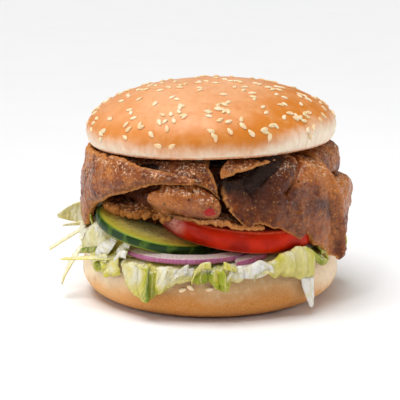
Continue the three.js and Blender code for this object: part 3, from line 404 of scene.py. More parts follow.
def makePiece(name, shapes, material, nodes):
    # Each shape is a dictionary of points, quads, and where wanted tris, chart and marks.
    base, points, quads, tris, charts, marks = 0, [], [], [], [], {}
    for shape in shapes:
        count = len(shape["points"])
        points.append(shape["points"])
        quads.append(shape["quads"] + base)
        tris.append(shape.get("tris", np.zeros((0, 3), int)) + base)
        charts.append(shape.get("chart", np.zeros((count, 2))))
        for key, values in shape.get("marks", {}).items():
            marks.setdefault(key, []).append(np.broadcast_to(values, (count,)))
        base += count
    points, quads, tris = np.concatenate(points), np.concatenate(quads), np.concatenate(tris)
    loops = np.concatenate([quads.ravel(), tris.ravel()]).astype(np.int32)
    totals = np.concatenate([np.full(len(quads), 4), np.full(len(tris), 3)]).astype(np.int32)
    mesh = bpy.data.meshes.new(name)
    mesh.vertices.add(len(points))
    mesh.vertices.foreach_set("co", (points * mm).ravel())
    mesh.loops.add(len(loops))
    mesh.loops.foreach_set("vertex_index", loops)
    mesh.polygons.add(len(totals))
    mesh.polygons.foreach_set("loop_start", np.concatenate([[0], np.cumsum(totals)[:-1]]).astype(np.int32))
    mesh.polygons.foreach_set("use_smooth", np.ones(len(totals), bool))
    mesh.update(calc_edges=True)
    for key, values in marks.items():
        layer = mesh.attributes.new(key, "FLOAT", "POINT")
        layer.data.foreach_set("value", np.concatenate(values).astype(np.float32))
    chart = mesh.uv_layers.new(name="chart")
    chart.data.foreach_set("uv", np.concatenate(charts)[loops].astype(np.float32).ravel())
    mesh.materials.append(material)
    claim(put(name, mesh), nodes)


def claim(piece, nodes):
    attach(piece, "root")
    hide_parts(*nodes)


# Floor

floor = {"reach": 4000, "paper": (250, 250, 250), "fleck": (246, 246, 247)}


def makeFloor():
    look = Board("paleFloor", Roughness=0.6)
    paper = look.finish(look.mix(look.noise(look.spot(), 60, 2), floor["paper"], floor["fleck"]))
    reach = floor["reach"] * mm
    mesh = bpy.data.meshes.new("floor")
    corners = [(-reach, -reach, 0), (reach, -reach, 0), (reach, reach, 0), (-reach, reach, 0)]
    mesh.from_pydata(corners, [], [(0, 1, 2, 3)])
    mesh.materials.append(paper)
    put("floor", mesh)


makeFloor()
print("floor made")

# Bun

heel = {"radius": 52, "foot": 38, "widestAt": 10.5, "shoulderAt": 17.5, "height": 22, "dip": 0.8,
        "fine": (190, 340), "baked": (190, 120, 40), "bakedLitSide": (236, 176, 104), "flour": (214, 174, 124),
        "flourLitSide": (248, 224, 190), "crumb": (244, 226, 196), "scorched": (180, 102, 34),
        "freckle": (170, 96, 34), "speck": (216, 158, 98), "dust": (246, 226, 196)}
crown = {"radius": 50.5, "rim": 48.6, "widestAt": 5.5, "height": 25, "at": (0, 0, 62.6), "roll": -1.2,
         "pitch": -1.1, "fine": (230, 400), "top": (240, 176, 128), "golden": (212, 124, 30),
         "flank": (250, 232, 208), "toasted": (206, 118, 42), "blush": (242, 186, 132),
         "freckle": (206, 118, 40), "amber": (226, 142, 66), "crease": (222, 184, 140),
         "under": (232, 190, 140), "creaseAt": 3.4, "creaseReach": 3.0, "creaseDepth": 0.55}


def heelShape():
    h = heel
    profile = [
        [0, 0],
        *arc((h["foot"], h["widestAt"]), (h["radius"] - h["foot"], h["widestAt"]), -90, 0, 24),
        [h["radius"] - 0.3, h["shoulderAt"] - 3],
        [h["radius"] - 1.2, h["shoulderAt"]],
        *arc((h["radius"] - 6, h["height"] - 3), (4.6, 3), 10, 90, 8),
        [h["radius"] * 0.5, h["height"] - h["dip"]],
        [0, h["height"] - h["dip"]],
    ]
    points, quads, tris = turnedShape(profile, h["fine"])
    bearing, reach = polar(points)
    share = np.clip(points[:, 2] / h["height"], 0, 1)
    out = uneven(bearing, 0.5, 1.3) * share
    flank = reach > h["foot"]
    out = out + flank * (0.3 * swells(points, 11, 4) * share + 0.1 * crags(points, 3.4, 2, 8))
    points[:, :2] *= (1 + out / h["radius"])[:, None]
    inside = (points[:, 2] > h["height"] - 1.5) & (share > 0.9)
    points[:, 2] += inside * (0.25 * crags(points, 5, 3, 3) + 0.12 * swells(points, 0.9, 5))
    points[:, 2] = np.maximum(points[:, 2], 0)
    return {"points": points, "quads": quads, "tris": tris}


def heelLook():
    look = Board("bottomCrust", **{"Subsurface Weight": 0.12, "Subsurface Scale": 0.004,
                                   "Specular IOR Level": 0.3})
    spot = look.spot()
    x, _, z = look.parts(spot)
    drift = look.noise(spot, 16, 3)
    fine = look.noise(spot, 1.3, 4, 0.65)
    pores = look.cells(spot, 1.7).ramp(0.05, 0.4)
    # Both sides of the heel are painted lighter, crust and flour alike, and the flour reaches lower there:
    # painted light from the lamps at the sides.
    sides = (0 - x).ramp(0.018, 0.05) + x.ramp(0.026, 0.05)
    high = (z + (drift - 0.5) * 0.010 + sides * 0.004).ramp(0.0075, 0.0165)
    baked = look.mix(sides, heel["baked"], heel["bakedLitSide"])
    flour = look.mix(sides, heel["flour"], heel["flourLitSide"])
    skin = look.mix(high, baked, flour)
    low = 1 - z.ramp(0.001, 0.006)
    skin = look.mix(low * 0.55, skin, heel["scorched"])
    freckles = look.noise(spot, 3.2, 3, 0.6).ramp(0.52, 0.72) * (1 - high * 0.6)
    skin = look.mix(freckles * 0.4, skin, heel["freckle"])
    skin = look.mix(look.cells(spot, 0.8).ramp(0.3, 0.6) * (1 - high) * 0.4, skin, heel["speck"])
    dust = look.noise(spot, 2.2, 3, 0.7).ramp(0.45, 0.75) * high
    skin = look.mix(dust * 0.35, skin, heel["dust"])
    cut = z.ramp(0.0196, 0.0206)
    skin = look.mix(cut, skin, heel["crumb"])
    height = fine * 0.5 + pores * 0.25 + drift * 0.4
    return look.finish(skin, 0.62 - fine * 0.12, height, 0.3)


def crownProfile():  # from the middle of its flat underside over the rim and the dome to the top
    c = crown
    middle = (c["rim"] + c["radius"]) / 2
    return [
        [0, 0],
        [c["rim"] - 3, 0],
        [c["rim"] - 0.6, 0.12],
        [c["rim"], 0.5],
        [middle + 0.3, c["widestAt"] * 0.42],
        *arc((0, c["widestAt"]), (c["radius"], c["height"] - c["widestAt"]), 0, 90, 60),
    ]


def unevenCrown(points):
    c = crown
    bearing, reach = polar(points)
    out = 1 + uneven(bearing, 0.45, 0.4) * reach / c["radius"] ** 2
    lift = 0.3 * lumps(points, 14, 5) * np.minimum(1, points[..., 2] / c["height"])
    return np.stack([points[..., 0] * out, points[..., 1] * out, points[..., 2] + lift], -1)


def crownShape():
    c = crown
    points, quads, tris = turnedShape(crownProfile(), c["fine"])
    bearing, reach = polar(points)
    share = np.clip(points[:, 2] / c["height"], 0, 1)
    # The pale flank creased as the dough sank: short upright wrinkles, deepest at the right.
    flank = bump((points[:, 2] - c["creaseAt"]) / c["creaseReach"]) * (reach > c["rim"] - 2)
    side = 0.15 + 0.85 * np.clip((points[:, 0] + 5) / 40, 0, 1)
    around = np.stack([bearing * c["radius"], points[:, 2] * 0.35, np.zeros(len(points))], -1)
    creases = 1 - np.abs(swells(around, 4.6, 31)) * 2.2
    creases = np.clip(creases, 0, 1) ** 2
    out = 0.35 * swells(points, 13, 12) * (1 - share) * (reach > c["rim"] - 2)
    out = out - c["creaseDepth"] * flank * side * creases
    outward = unit(points * np.array([1, 1, 2.0]) - np.array([0, 0, 6]))
    points = unevenCrown(points)
    points = points + outward * (out + 0.07 * crags(points, 2.6, 2, 6) * (share > 0.02))[:, None]
    points[:, 2] = np.where(share < 0.01, points[:, 2] + 0.12 * swells(points, 1.2, 9) - 0.1, points[:, 2])
    return {"points": turnedBy(points, c["pitch"], c["roll"], c["at"]), "quads": quads, "tris": tris,
            "marks": {"rise": share * c["height"]}}


def crownLook():
    look = Board("crownCrust", **{"Subsurface Weight": 0.1, "Subsurface Scale": 0.004,
                                  "Specular IOR Level": 0.35, "Coat Roughness": 0.3, "Coat IOR": 1.4})
    spot = look.spot()
    x = look.parts(spot)[0]
    rise = look.mark("rise")
    drift = look.noise(spot, 22, 3)
    patch = look.noise(spot, 7, 3, 0.6)
    fine = look.noise(spot, 0.9, 3, 0.6)
    streaks = look.noise(look.stretched(spot, (1, 1, 0.22)), 2.2, 4, 0.62)
    creases = look.noise(look.stretched(spot, (1, 1, 0.3)), 3.4, 2, 0.5)
    creases = ((creases - 0.5) * (creases - 0.5) * 4).ramp(0.0, 0.012)
    right = x.ramp(0.01, 0.045)
    sides = right + (0 - x).ramp(0.02, 0.05) * 0.5
    edgeOfFlank = 2.0 + sides * 6.5 + (drift - 0.5) * 5 + (streaks - 0.5) * 4 + (patch - 0.5) * 4
    baked = ((rise - edgeOfFlank) / 5).ramp(-0.7, 1.0)
    upper = ((rise - edgeOfFlank + (patch - 0.5) * 6) / 15 - x * 10).ramp(0.4, 1.6)
    crust = look.mix(upper, crown["golden"], crown["top"])
    crust = look.mix(patch.ramp(0.4, 0.7) * 0.35, crust, crown["blush"])
    crust = look.mix(look.noise(spot, 2.6, 3, 0.6).ramp(0.5, 0.7) * 0.3, crust, crown["freckle"])
    crust = look.mix(drift.ramp(0.45, 0.7) * 0.4, crust, crown["amber"])
    pale = look.mix((1 - creases) * right * 0.2, crown["flank"], crown["crease"])
    skin = look.mix(baked, pale, crust)
    toasted = (1 - rise.ramp(0.3, 1.4)) * streaks.ramp(0.25, 0.55)
    skin = look.mix(toasted * 0.85, skin, crown["toasted"])
    under = 1 - rise.ramp(0.0, 0.06)
    skin = look.mix(under, skin, crown["under"])
    height = fine * 0.35 + patch * 0.5 + (streaks + creases) * (1 - baked)
    return look.finish(skin, 0.52 - baked * 0.1 + fine * 0.08, height, 0.22, baked * 0.22)


makePiece("bun_bottom", [heelShape()], heelLook(), ["bottom_bun"])
makePiece("bun_top", [crownShape()], crownLook(), ["top_bun"])
print("bun made")

# Sesame seeds, on the rule that spreads them over the crown

seeds = {"count": 136, "length": 3.2, "width": 1.9, "thick": 1.1, "sunk": 0.32, "spread": 0.93,
         "varies": 0.12, "turn": 137.508, "seed": 7, "fine": (9, 12), "shell": (247, 226, 190),
         "tan": (236, 203, 152), "fleck": (214, 170, 112)}
bunches = [  # more seeds than the CAD has: bearing, share of the way down the crown, how many
    (-91, 0.6, 9), (-110, 0.69, 4), (-28, 0.35, 5), (-54, 0.35, 3), (-40, 0.65, 5), (-113, 0.17, 5),
    (-170, 0.31, 4), (-52, 0.08, 4), (-165, 0.52, 3), (-88, 0.78, 3), (-70, 0.9, 2), (-109, 0.56, 3),
    (-58, 0.74, 2), (-126, 0.74, 2), (-18, 0.49, 4), (-36, 0.97, 2), (-146, 0.97, 2), (-108, 0.97, 2),
    (30, 0.5, 6), (62, 0.66, 7), (96, 0.4, 7), (124, 0.72, 8), (150, 0.5, 5), (100, 0.85, 4), (10, 0.8, 4),
    (172, 0.8, 4),
]


def drawRow(seed, count):  # the same repeatable draws as the CAD's
    state, row = seed, []
    for _ in range(count):
        state = state * 16807 % 2147483647
        row.append(state / 2147483647)
    return np.array(row)


def crownSkin(share, bearing):
    c = crown
    lean = share * np.pi / 2
    flat = c["radius"] * np.sin(lean)
    height = c["widestAt"] + (c["height"] - c["widestAt"]) * np.cos(lean)
    return unevenCrown(np.stack([flat * np.cos(bearing), flat * np.sin(bearing), height], -1))


def seedSpots():
    count = seeds["count"]
    draws = drawRow(2024, 3 * count).reshape(count, 3)
    i = np.arange(count)
    share = seeds["spread"] * np.sqrt((i + 0.5) / count) + 0.05 * (draws[:, 0] - 0.5)
    bearing = i * np.radians(seeds["turn"]) + 0.45 * (draws[:, 1] - 0.5)
    middles = np.repeat(np.array(bunches)[:, :2], np.array(bunches)[:, 2].astype(int), axis=0)
    more = drawRow(404, 3 * len(middles)).reshape(-1, 3)
    away, way = 0.13 * more[:, 0] ** 0.7, 2 * np.pi * more[:, 1]
    share = np.concatenate([share, middles[:, 1] + away * np.sin(way)]).clip(0.02, 1)
    around = away * np.cos(way) / np.maximum(0.2, np.sin(middles[:, 1] * np.pi / 2))
    bearing = np.concatenate([bearing, np.radians(middles[:, 0]) + around])
    turn = 2 * np.pi * np.concatenate([draws[:, 2], more[:, 2]])
    point = crownSkin(share, bearing)
    out = unit(np.cross(crownSkin(share + 0.01, bearing) - point, crownSkin(share, bearing + 0.01) - point))
    lift = point + out * (0.5 - seeds["sunk"]) * seeds["thick"]
    c = crown
    turned = turnedBy(out, c["pitch"], c["roll"], (0, 0, 0))
    return turnedBy(lift, c["pitch"], c["roll"], c["at"]), turned, turn


def seedShape():  # one seed, 1 long, wide and thick: blunt at one end, pointed at the other
    points, quads, tris = turnedShape(arc((0, 0), (0.5, 0.5), -90, 90, 24), seeds["fine"])
    x, y, z = points[:, 2], points[:, 0], points[:, 1]
    taper = 1 - 0.62 * (x + 0.1) * (x > -0.1)
    return np.stack([x, y * taper, z * (0.8 + 0.2 * taper)], -1), quads, tris


def seedMesh(material):
    points, quads, tris = seedShape()
    mesh = bpy.data.meshes.new("sesameSeed")
    mesh.from_pydata(points.tolist(), [], quads.tolist() + tris.tolist())
    mesh.polygons.foreach_set("use_smooth", np.ones(len(mesh.polygons), bool))
    mesh.materials.append(material)
    return bpy.data.objects.new("sesameSeed", mesh)


def seedLook():
    look = Board("sesame", **{"Subsurface Weight": 0.2, "Subsurface Scale": 0.001})
    spot = look.spot()
    kind = look.noise(spot, 4.5, 1)
    fine = look.noise(spot, 0.5, 2)
    shell = look.mix(kind.ramp(0.35, 0.65), seeds["shell"], seeds["tan"])
    shell = look.mix(fine.ramp(0.45, 0.8) * 0.4, shell, seeds["fleck"])
    return look.finish(shell, 0.38 + fine * 0.15, fine, 0.06)


def seedTree(material, seedThing, inputs):
    tree = bpy.data.node_groups.new("scatterSeeds", "GeometryNodeTree")
    face = tree.interface
    face.new_socket("Geometry", in_out="INPUT", socket_type="NodeSocketGeometry")
    sockets = {}
    for name, value in inputs.items():
        kind = "Int" if isinstance(value, int) else "Float"
        sockets[name] = face.new_socket(name, in_out="INPUT", socket_type=f"NodeSocket{kind}").identifier
    face.new_socket("Geometry", in_out="OUTPUT", socket_type="NodeSocketGeometry")

    def node(kind, settings, links):
        made = tree.nodes.new(kind)
        for key, value in settings.items():
            setattr(made, key, value)
        for key, value in links.items():
            if isinstance(value, bpy.types.NodeSocket):
                tree.links.new(value, made.inputs[key])
            else:
                made.inputs[key].default_value = value
        return made.outputs

    def attribute(name, kind):
        return node("GeometryNodeInputNamedAttribute", {"data_type": kind}, {"Name": name})["Attribute"]

    enter = node("NodeGroupInput", {}, {})
    points = node("GeometryNodeMeshToPoints", {}, {"Mesh": enter["Geometry"]})[0]
    low, high = (node("ShaderNodeMath", {"operation": operation}, {0: 1, 1: enter["Size spread"]})[0]
                 for operation in ("SUBTRACT", "ADD"))
    drawn = {2: low, 3: high, "Seed": enter["Seed"]}
    draw = node("FunctionNodeRandomValue", {"data_type": "FLOAT"}, drawn)[1]
    sides = {"X": enter["Length"], "Y": enter["Width"], "Z": enter["Thickness"]}
    size = node("ShaderNodeCombineXYZ", {}, sides)[0]
    scale = node("ShaderNodeVectorMath", {"operation": "SCALE"}, {0: size, "Scale": draw})[0]
    out = attribute("out", "FLOAT_VECTOR")
    outward = node("FunctionNodeAlignRotationToVector", {"axis": "Z"}, {"Vector": out})[0]
    turn = attribute("turn", "FLOAT")
    spin = node("FunctionNodeAxisAngleToRotation", {}, {"Axis": (0, 0, 1), "Angle": turn})[0]
    rotation = node("FunctionNodeRotateRotation", {"rotation_space": "LOCAL"}, {0: outward, 1: spin})[0]
    seed = node("GeometryNodeObjectInfo", {}, {"Object": seedThing})["Geometry"]
    spread = node("GeometryNodeInstanceOnPoints", {},
                  {"Points": points, "Instance": seed, "Rotation": rotation, "Scale": scale})[0]
    solid = node("GeometryNodeRealizeInstances", {}, {"Geometry": spread})[0]
    painted = node("GeometryNodeSetMaterial", {}, {"Geometry": solid, "Material": material})[0]
    node("NodeGroupOutput", {}, {0: painted})
    return tree, sockets


strays = [(-102, 52.1, 13.8, 20), (-98.6, 52.1, 14.8, -35), (-90.6, 52.1, 14.4, 5), (-40, 51.6, 16.4, 70)]


def straySeed(bearing, radius, height, turn):  # a seed that fell on the flank of the lower bun
    points, quads, tris = seedShape()
    points = points * [seeds["length"], seeds["width"], seeds["thick"]]
    spin, way = np.radians([turn, bearing])
    out = np.array([np.cos(way), np.sin(way), 0])
    side, up = np.array([-np.sin(way), np.cos(way), 0]), np.array([0, 0, 1])
    along = np.cos(spin) * side + np.sin(spin) * up
    points = points @ np.stack([along, np.cross(out, along), out]) + out * radius + up * height
    return {"points": points, "quads": quads, "tris": tris}


def makeSeeds():
    spots, out, turn = seedSpots()
    mesh = bpy.data.meshes.new("seedSpots")
    mesh.from_pydata((spots * mm).tolist(), [], [])
    outward = mesh.attributes.new("out", "FLOAT_VECTOR", "POINT")
    outward.data.foreach_set("vector", out.astype(np.float32).ravel())
    turned = mesh.attributes.new("turn", "FLOAT", "POINT")
    turned.data.foreach_set("value", turn.astype(np.float32))
    holder = put("seedSpots", mesh)
    material = seedLook()
    model = seedMesh(material)
    inputs = {"Length": seeds["length"] * mm, "Width": seeds["width"] * mm, "Thickness": seeds["thick"] * mm,
              "Size spread": seeds["varies"], "Seed": seeds["seed"]}
    modifier = holder.modifiers.new("scatterSeeds", "NODES")
    modifier.node_group, sockets = seedTree(material, model, inputs)
    for name, value in inputs.items():
        modifier[sockets[name]] = value
    evaluated = holder.evaluated_get(bpy.context.evaluated_depsgraph_get())
    result = bpy.data.meshes.new_from_object(evaluated)
    result.name = "sesame_seeds"
    bpy.data.objects.remove(holder)
    bpy.data.objects.remove(model)
    claim(put("sesame_seeds", result), ["top_bun"])
    makePiece("stray_seeds", [straySeed(*stray) for stray in strays], material, ["bottom_bun"])
    print("sesame seeds made:", len(result.polygons), "faces")


makeSeeds()

# Tomato and cucumber

tomato = {"radius": 33.4, "thick": 8.8, "at": (11.6, -16, 36), "roll": 5, "pitch": 8.2, "bevel": 1.8,
          "fine": (150, 320), "skin": (200, 36, 0), "deep": (150, 16, 0), "flesh": (214, 74, 44),
          "jelly": (206, 84, 34), "paintedLitSkin": (204, 40, 4), "rim": (216, 84, 44), "paintedSheen": (255, 206, 190),
          "fleshLight": (224, 98, 66), "pip": (240, 206, 140)}
cucumber = {"radius": 25, "thick": 3.7, "at": (-20.5, -21.5, 31.6), "roll": 12, "pitch": 6.2, "bevel": 0.5,
            "fine": (150, 320),
            "skin": (24, 56, 6), "streak": (92, 124, 26), "flesh": (240, 224, 130), "rim": (122, 148, 30),
            "deep": (12, 38, 6), "outer": (196, 186, 66), "core": (198, 196, 120), "pip": (222, 214, 156),
            "mottle": (156, 124, 40)}


def roundSlice(s):
    half, reach, bevel = s["thick"] / 2, s["radius"], s["bevel"]
    profile = [
        [0, -half],
        [reach - bevel, -half],
        *arc((reach - bevel, 0), (bevel, half * 0.86), -64, 64, 30),
        [reach - bevel, half],
        [0, half],
    ]
    points, quads, tris = turnedShape(profile, s["fine"])
    points[:, :2] *= (1 + uneven(polar(points)[0], 0.3, 2.2) / s["radius"])[:, None]
    chart = points[:, :2] / s["radius"]
    level = points[:, 2] / half
    wall = polar(points)[1] / s["radius"]
    points[:, 2] += 0.12 * crags(points, 6, 3, int(s["radius"])) * (wall < 0.96)
    return {"points": turnedBy(points, s["pitch"], s["roll"], s["at"]), "quads": quads, "tris": tris,
            "chart": chart, "marks": {"level": level, "wall": wall}}


def tomatoLook():
    look = Board("tomato", **{"Subsurface Weight": 0.06, "Subsurface Scale": 0.002,
                              "Specular IOR Level": 0.08, "Coat Roughness": 0.12})
    spot = look.spot()
    across, over, _ = look.parts(look.chart())
    level, wall = look.mark("level"), look.mark("wall")
    fine = look.noise(spot, 1.1, 3)
    drift = look.noise(spot, 9, 2)
    skin = look.mix(drift.ramp(0.35, 0.7), tomato["deep"], tomato["skin"])
    # The upper part of the wall is painted brighter: painted light falling from above.
    skin = look.mix(level.ramp(-0.5, 0.9) * 0.55, skin, tomato["paintedLitSkin"])
    skin = look.mix((level * level).ramp(0.7, 0.98) * 0.6, skin, tomato["rim"])
    # A pale patch near the left end of the wall is a painted highlight.
    paintedSheen = (0 - across).ramp(0.6, 0.84) * (1 - (0 - across).ramp(0.82, 0.98)) * (0 - over).ramp(0.1, 0.5)
    paintedSheen = paintedSheen * (fine * 0.5 + drift).ramp(0.5, 0.9)
    skin = look.mix(paintedSheen * level.ramp(-0.9, 0.3), skin, tomato["paintedSheen"])
    bearing = look.maths("ARCTAN2", over, across)
    spokes = look.maths("COSINE", bearing * 5)
    pocket = (spokes * 0.5 + 0.5).ramp(0.25, 0.7) * wall.ramp(0.28, 0.4) * (1 - wall.ramp(0.74, 0.84))
    flesh = look.mix(fine.ramp(0.4, 0.7), tomato["flesh"], tomato["fleshLight"])
    seed = 1 - look.cells(spot, 3.2).ramp(0.22, 0.34)
    pulp = look.mix(seed, tomato["jelly"], tomato["pip"])
    flesh = look.mix(pocket, flesh, pulp)
    face = (1 - wall.ramp(0.955, 0.985)) * (level * level).ramp(0.6, 0.9)
    color = look.mix(face, skin, flesh)
    height = fine * 0.4 + pocket * -1.2 + drift * 0.4
    return look.finish(color, 0.3 + fine * 0.14, height, 0.25, 0.1 - face * 0.04)


def cucumberLook():
    look = Board("cucumber", **{"Subsurface Weight": 0.08, "Subsurface Scale": 0.002,
                                "Specular IOR Level": 0.2, "Coat Roughness": 0.2})
    spot = look.spot()
    across, over, _ = look.parts(look.chart())
    level, wall = look.mark("level"), look.mark("wall")
    fine = look.noise(spot, 0.8, 3)
    drift = look.noise(spot, 7, 3)
    bearing = look.maths("ARCTAN2", over, across)
    sweep = bearing * 17 + drift * 9 + fine * 2
    stripes = look.maths("SINE", sweep)
    skin = look.mix(stripes.ramp(0.4, 1.0) * 0.5, cucumber["skin"], cucumber["streak"])
    skin = look.mix(fine.ramp(0.5, 0.75) * 0.5, skin, cucumber["deep"])
    flesh = look.mix(wall.ramp(0.6, 0.9), cucumber["flesh"], cucumber["outer"])
    flesh = look.mix(wall.ramp(0.92, 0.975), flesh, cucumber["rim"])
    core = 1 - (wall + (drift - 0.5) * 0.14).ramp(0.6, 0.72)
    flesh = look.mix(core * 0.8, flesh, cucumber["core"])
    pipSpots = look.add("ShaderNodeCombineXYZ", None, {"X": bearing * 3.4, "Y": wall * 5.2})
    pips = look.add("ShaderNodeTexVoronoi", {"feature": "F1"}, {"Vector": pipSpots, "Scale": 1.5})
    pip = 1 - pips.ramp(0.2, 0.36)
    pip = pip * wall.ramp(0.2, 0.3) * (1 - wall.ramp(0.6, 0.7))
    flesh = look.mix(pip * 0.8, flesh, cucumber["pip"])
    mottle = look.noise(spot, 2.4, 3, 0.6).ramp(0.42, 0.66) * (1 - wall.ramp(0.84, 0.93))
    flesh = look.mix(mottle * 0.5, flesh, cucumber["mottle"])
    face = (1 - wall.ramp(0.966, 0.988)) * (level * level).ramp(0.5, 0.8)
    color = look.mix(face, skin, flesh)
    height = fine * 0.35 + pip * 0.8 + stripes * (1 - face) * 0.3 + drift * 0.3
    return look.finish(color, 0.34 + fine * 0.2, height, 0.3, 0.16 - face * 0.04)


makePiece("tomato_slice", [roundSlice(tomato)], tomatoLook(), ["tomato"])
makePiece("cucumber_slice", [roundSlice(cucumber)], cucumberLook(), ["cucumber"])
print("tomato and cucumber made")

# Red onion

onion = {"section": 4.6, "height": 2.4, "slope": 0.07, "fine": (260, 36), "white": (196, 180, 172),
         "layer": (206, 160, 190), "fleck": (226, 206, 208), "purple": (160, 72, 104),
         "fibre": (176, 104, 156), "deep": (108, 38, 88)}
onionRings = {
    "onion_ring": {"at": (-7.8, -22.8, 27.2), "radius": 28.8, "first": -168, "last": -22, "lean": 0},
    "onion_ring_lower": {"at": (2, -22, 24.3), "radius": 28.2, "first": -74, "last": -46, "lean": 0.155},
}


def ringShape(ring):
    u, v = sheetGrid(*onion["fine"])
    bearing = np.radians(ring["first"] + (ring["last"] - ring["first"]) * u)
    reach = ring["radius"] - onion["section"] * (1 - v)
    x, y = reach * np.cos(bearing), reach * np.sin(bearing)
    at = ring["at"]
    z = at[2] + onion["slope"] * y + ring["lean"] * x + 0.3 * np.sin(3 * bearing) - 0.8 * v
    middle = np.stack([at[0] + x, at[1] + y, z], -1)

    def relief(points, side, _):
        layers = 0.12 * np.cos(v * np.pi * 7) ** 8
        return 0.14 * crags(points, 5, 3, 40 + side) - layers

    shape = slabShape(middle, np.full(u.shape, onion["height"]), 0.7, relief)
    shape["marks"]["across"] = np.tile(v.ravel(), 2)
    shape["marks"]["level"] = np.repeat([1.0, -1.0], u.size)
    return shape


def onionLook():
    look = Board("redOnion", **{"Subsurface Weight": 0.3, "Subsurface Scale": 0.003, "Coat Roughness": 0.1})
    spot = look.spot()
    chart = look.chart()
    across = look.mark("across")
    fine = look.noise(spot, 0.7, 3)
    fibres = look.noise(look.stretched(chart, (5, 0.6, 1)), 3.2, 3, 0.6)
    layers = (look.maths("COSINE", across * 21) * 0.5 + 0.5).ramp(0.72, 1.0)
    cut = look.mix(layers * 0.5, onion["white"], onion["layer"])
    cut = look.mix(fine.ramp(0.5, 0.8) * 0.35, cut, onion["fleck"])
    rind = look.mix(fibres.ramp(0.35, 0.7), onion["purple"], onion["fibre"])
    rind = look.mix(fine.ramp(0.55, 0.75) * 0.4, rind, onion["deep"])
    outer = (across + (fine - 0.5) * 0.06).ramp(0.86, 0.93)
    color = look.mix(outer, cut, rind)
    height = fibres * 0.6 + fine * 0.3 + layers * -0.5
    return look.finish(color, 0.2 + fine * 0.15, height, 0.14, 0.4)


onionFinish = onionLook()
for node, ring in onionRings.items():
    makePiece(node.replace("onion_ring", "onion_slice"), [ringShape(ring)], onionFinish, [node])
print("onion made")

# Doner meat: each slice goes from its tuck in the pile over its shoulder to its hem

doner = {"thick": 3.4, "brown": (144, 70, 16), "dark": (80, 32, 5), "tan": (190, 112, 44),
         "fat": (230, 170, 104), "fibre": (188, 122, 66), "pink": (170, 104, 70), "crust": (226, 152, 80),
         "shade": (12, 3, 0), "pitShade": (24, 8, 2), "paintedGlint": (250, 214, 176), "chilli": (170, 18, 14),
         "chilliAt": (-0.8, -50.6, 43.9)}

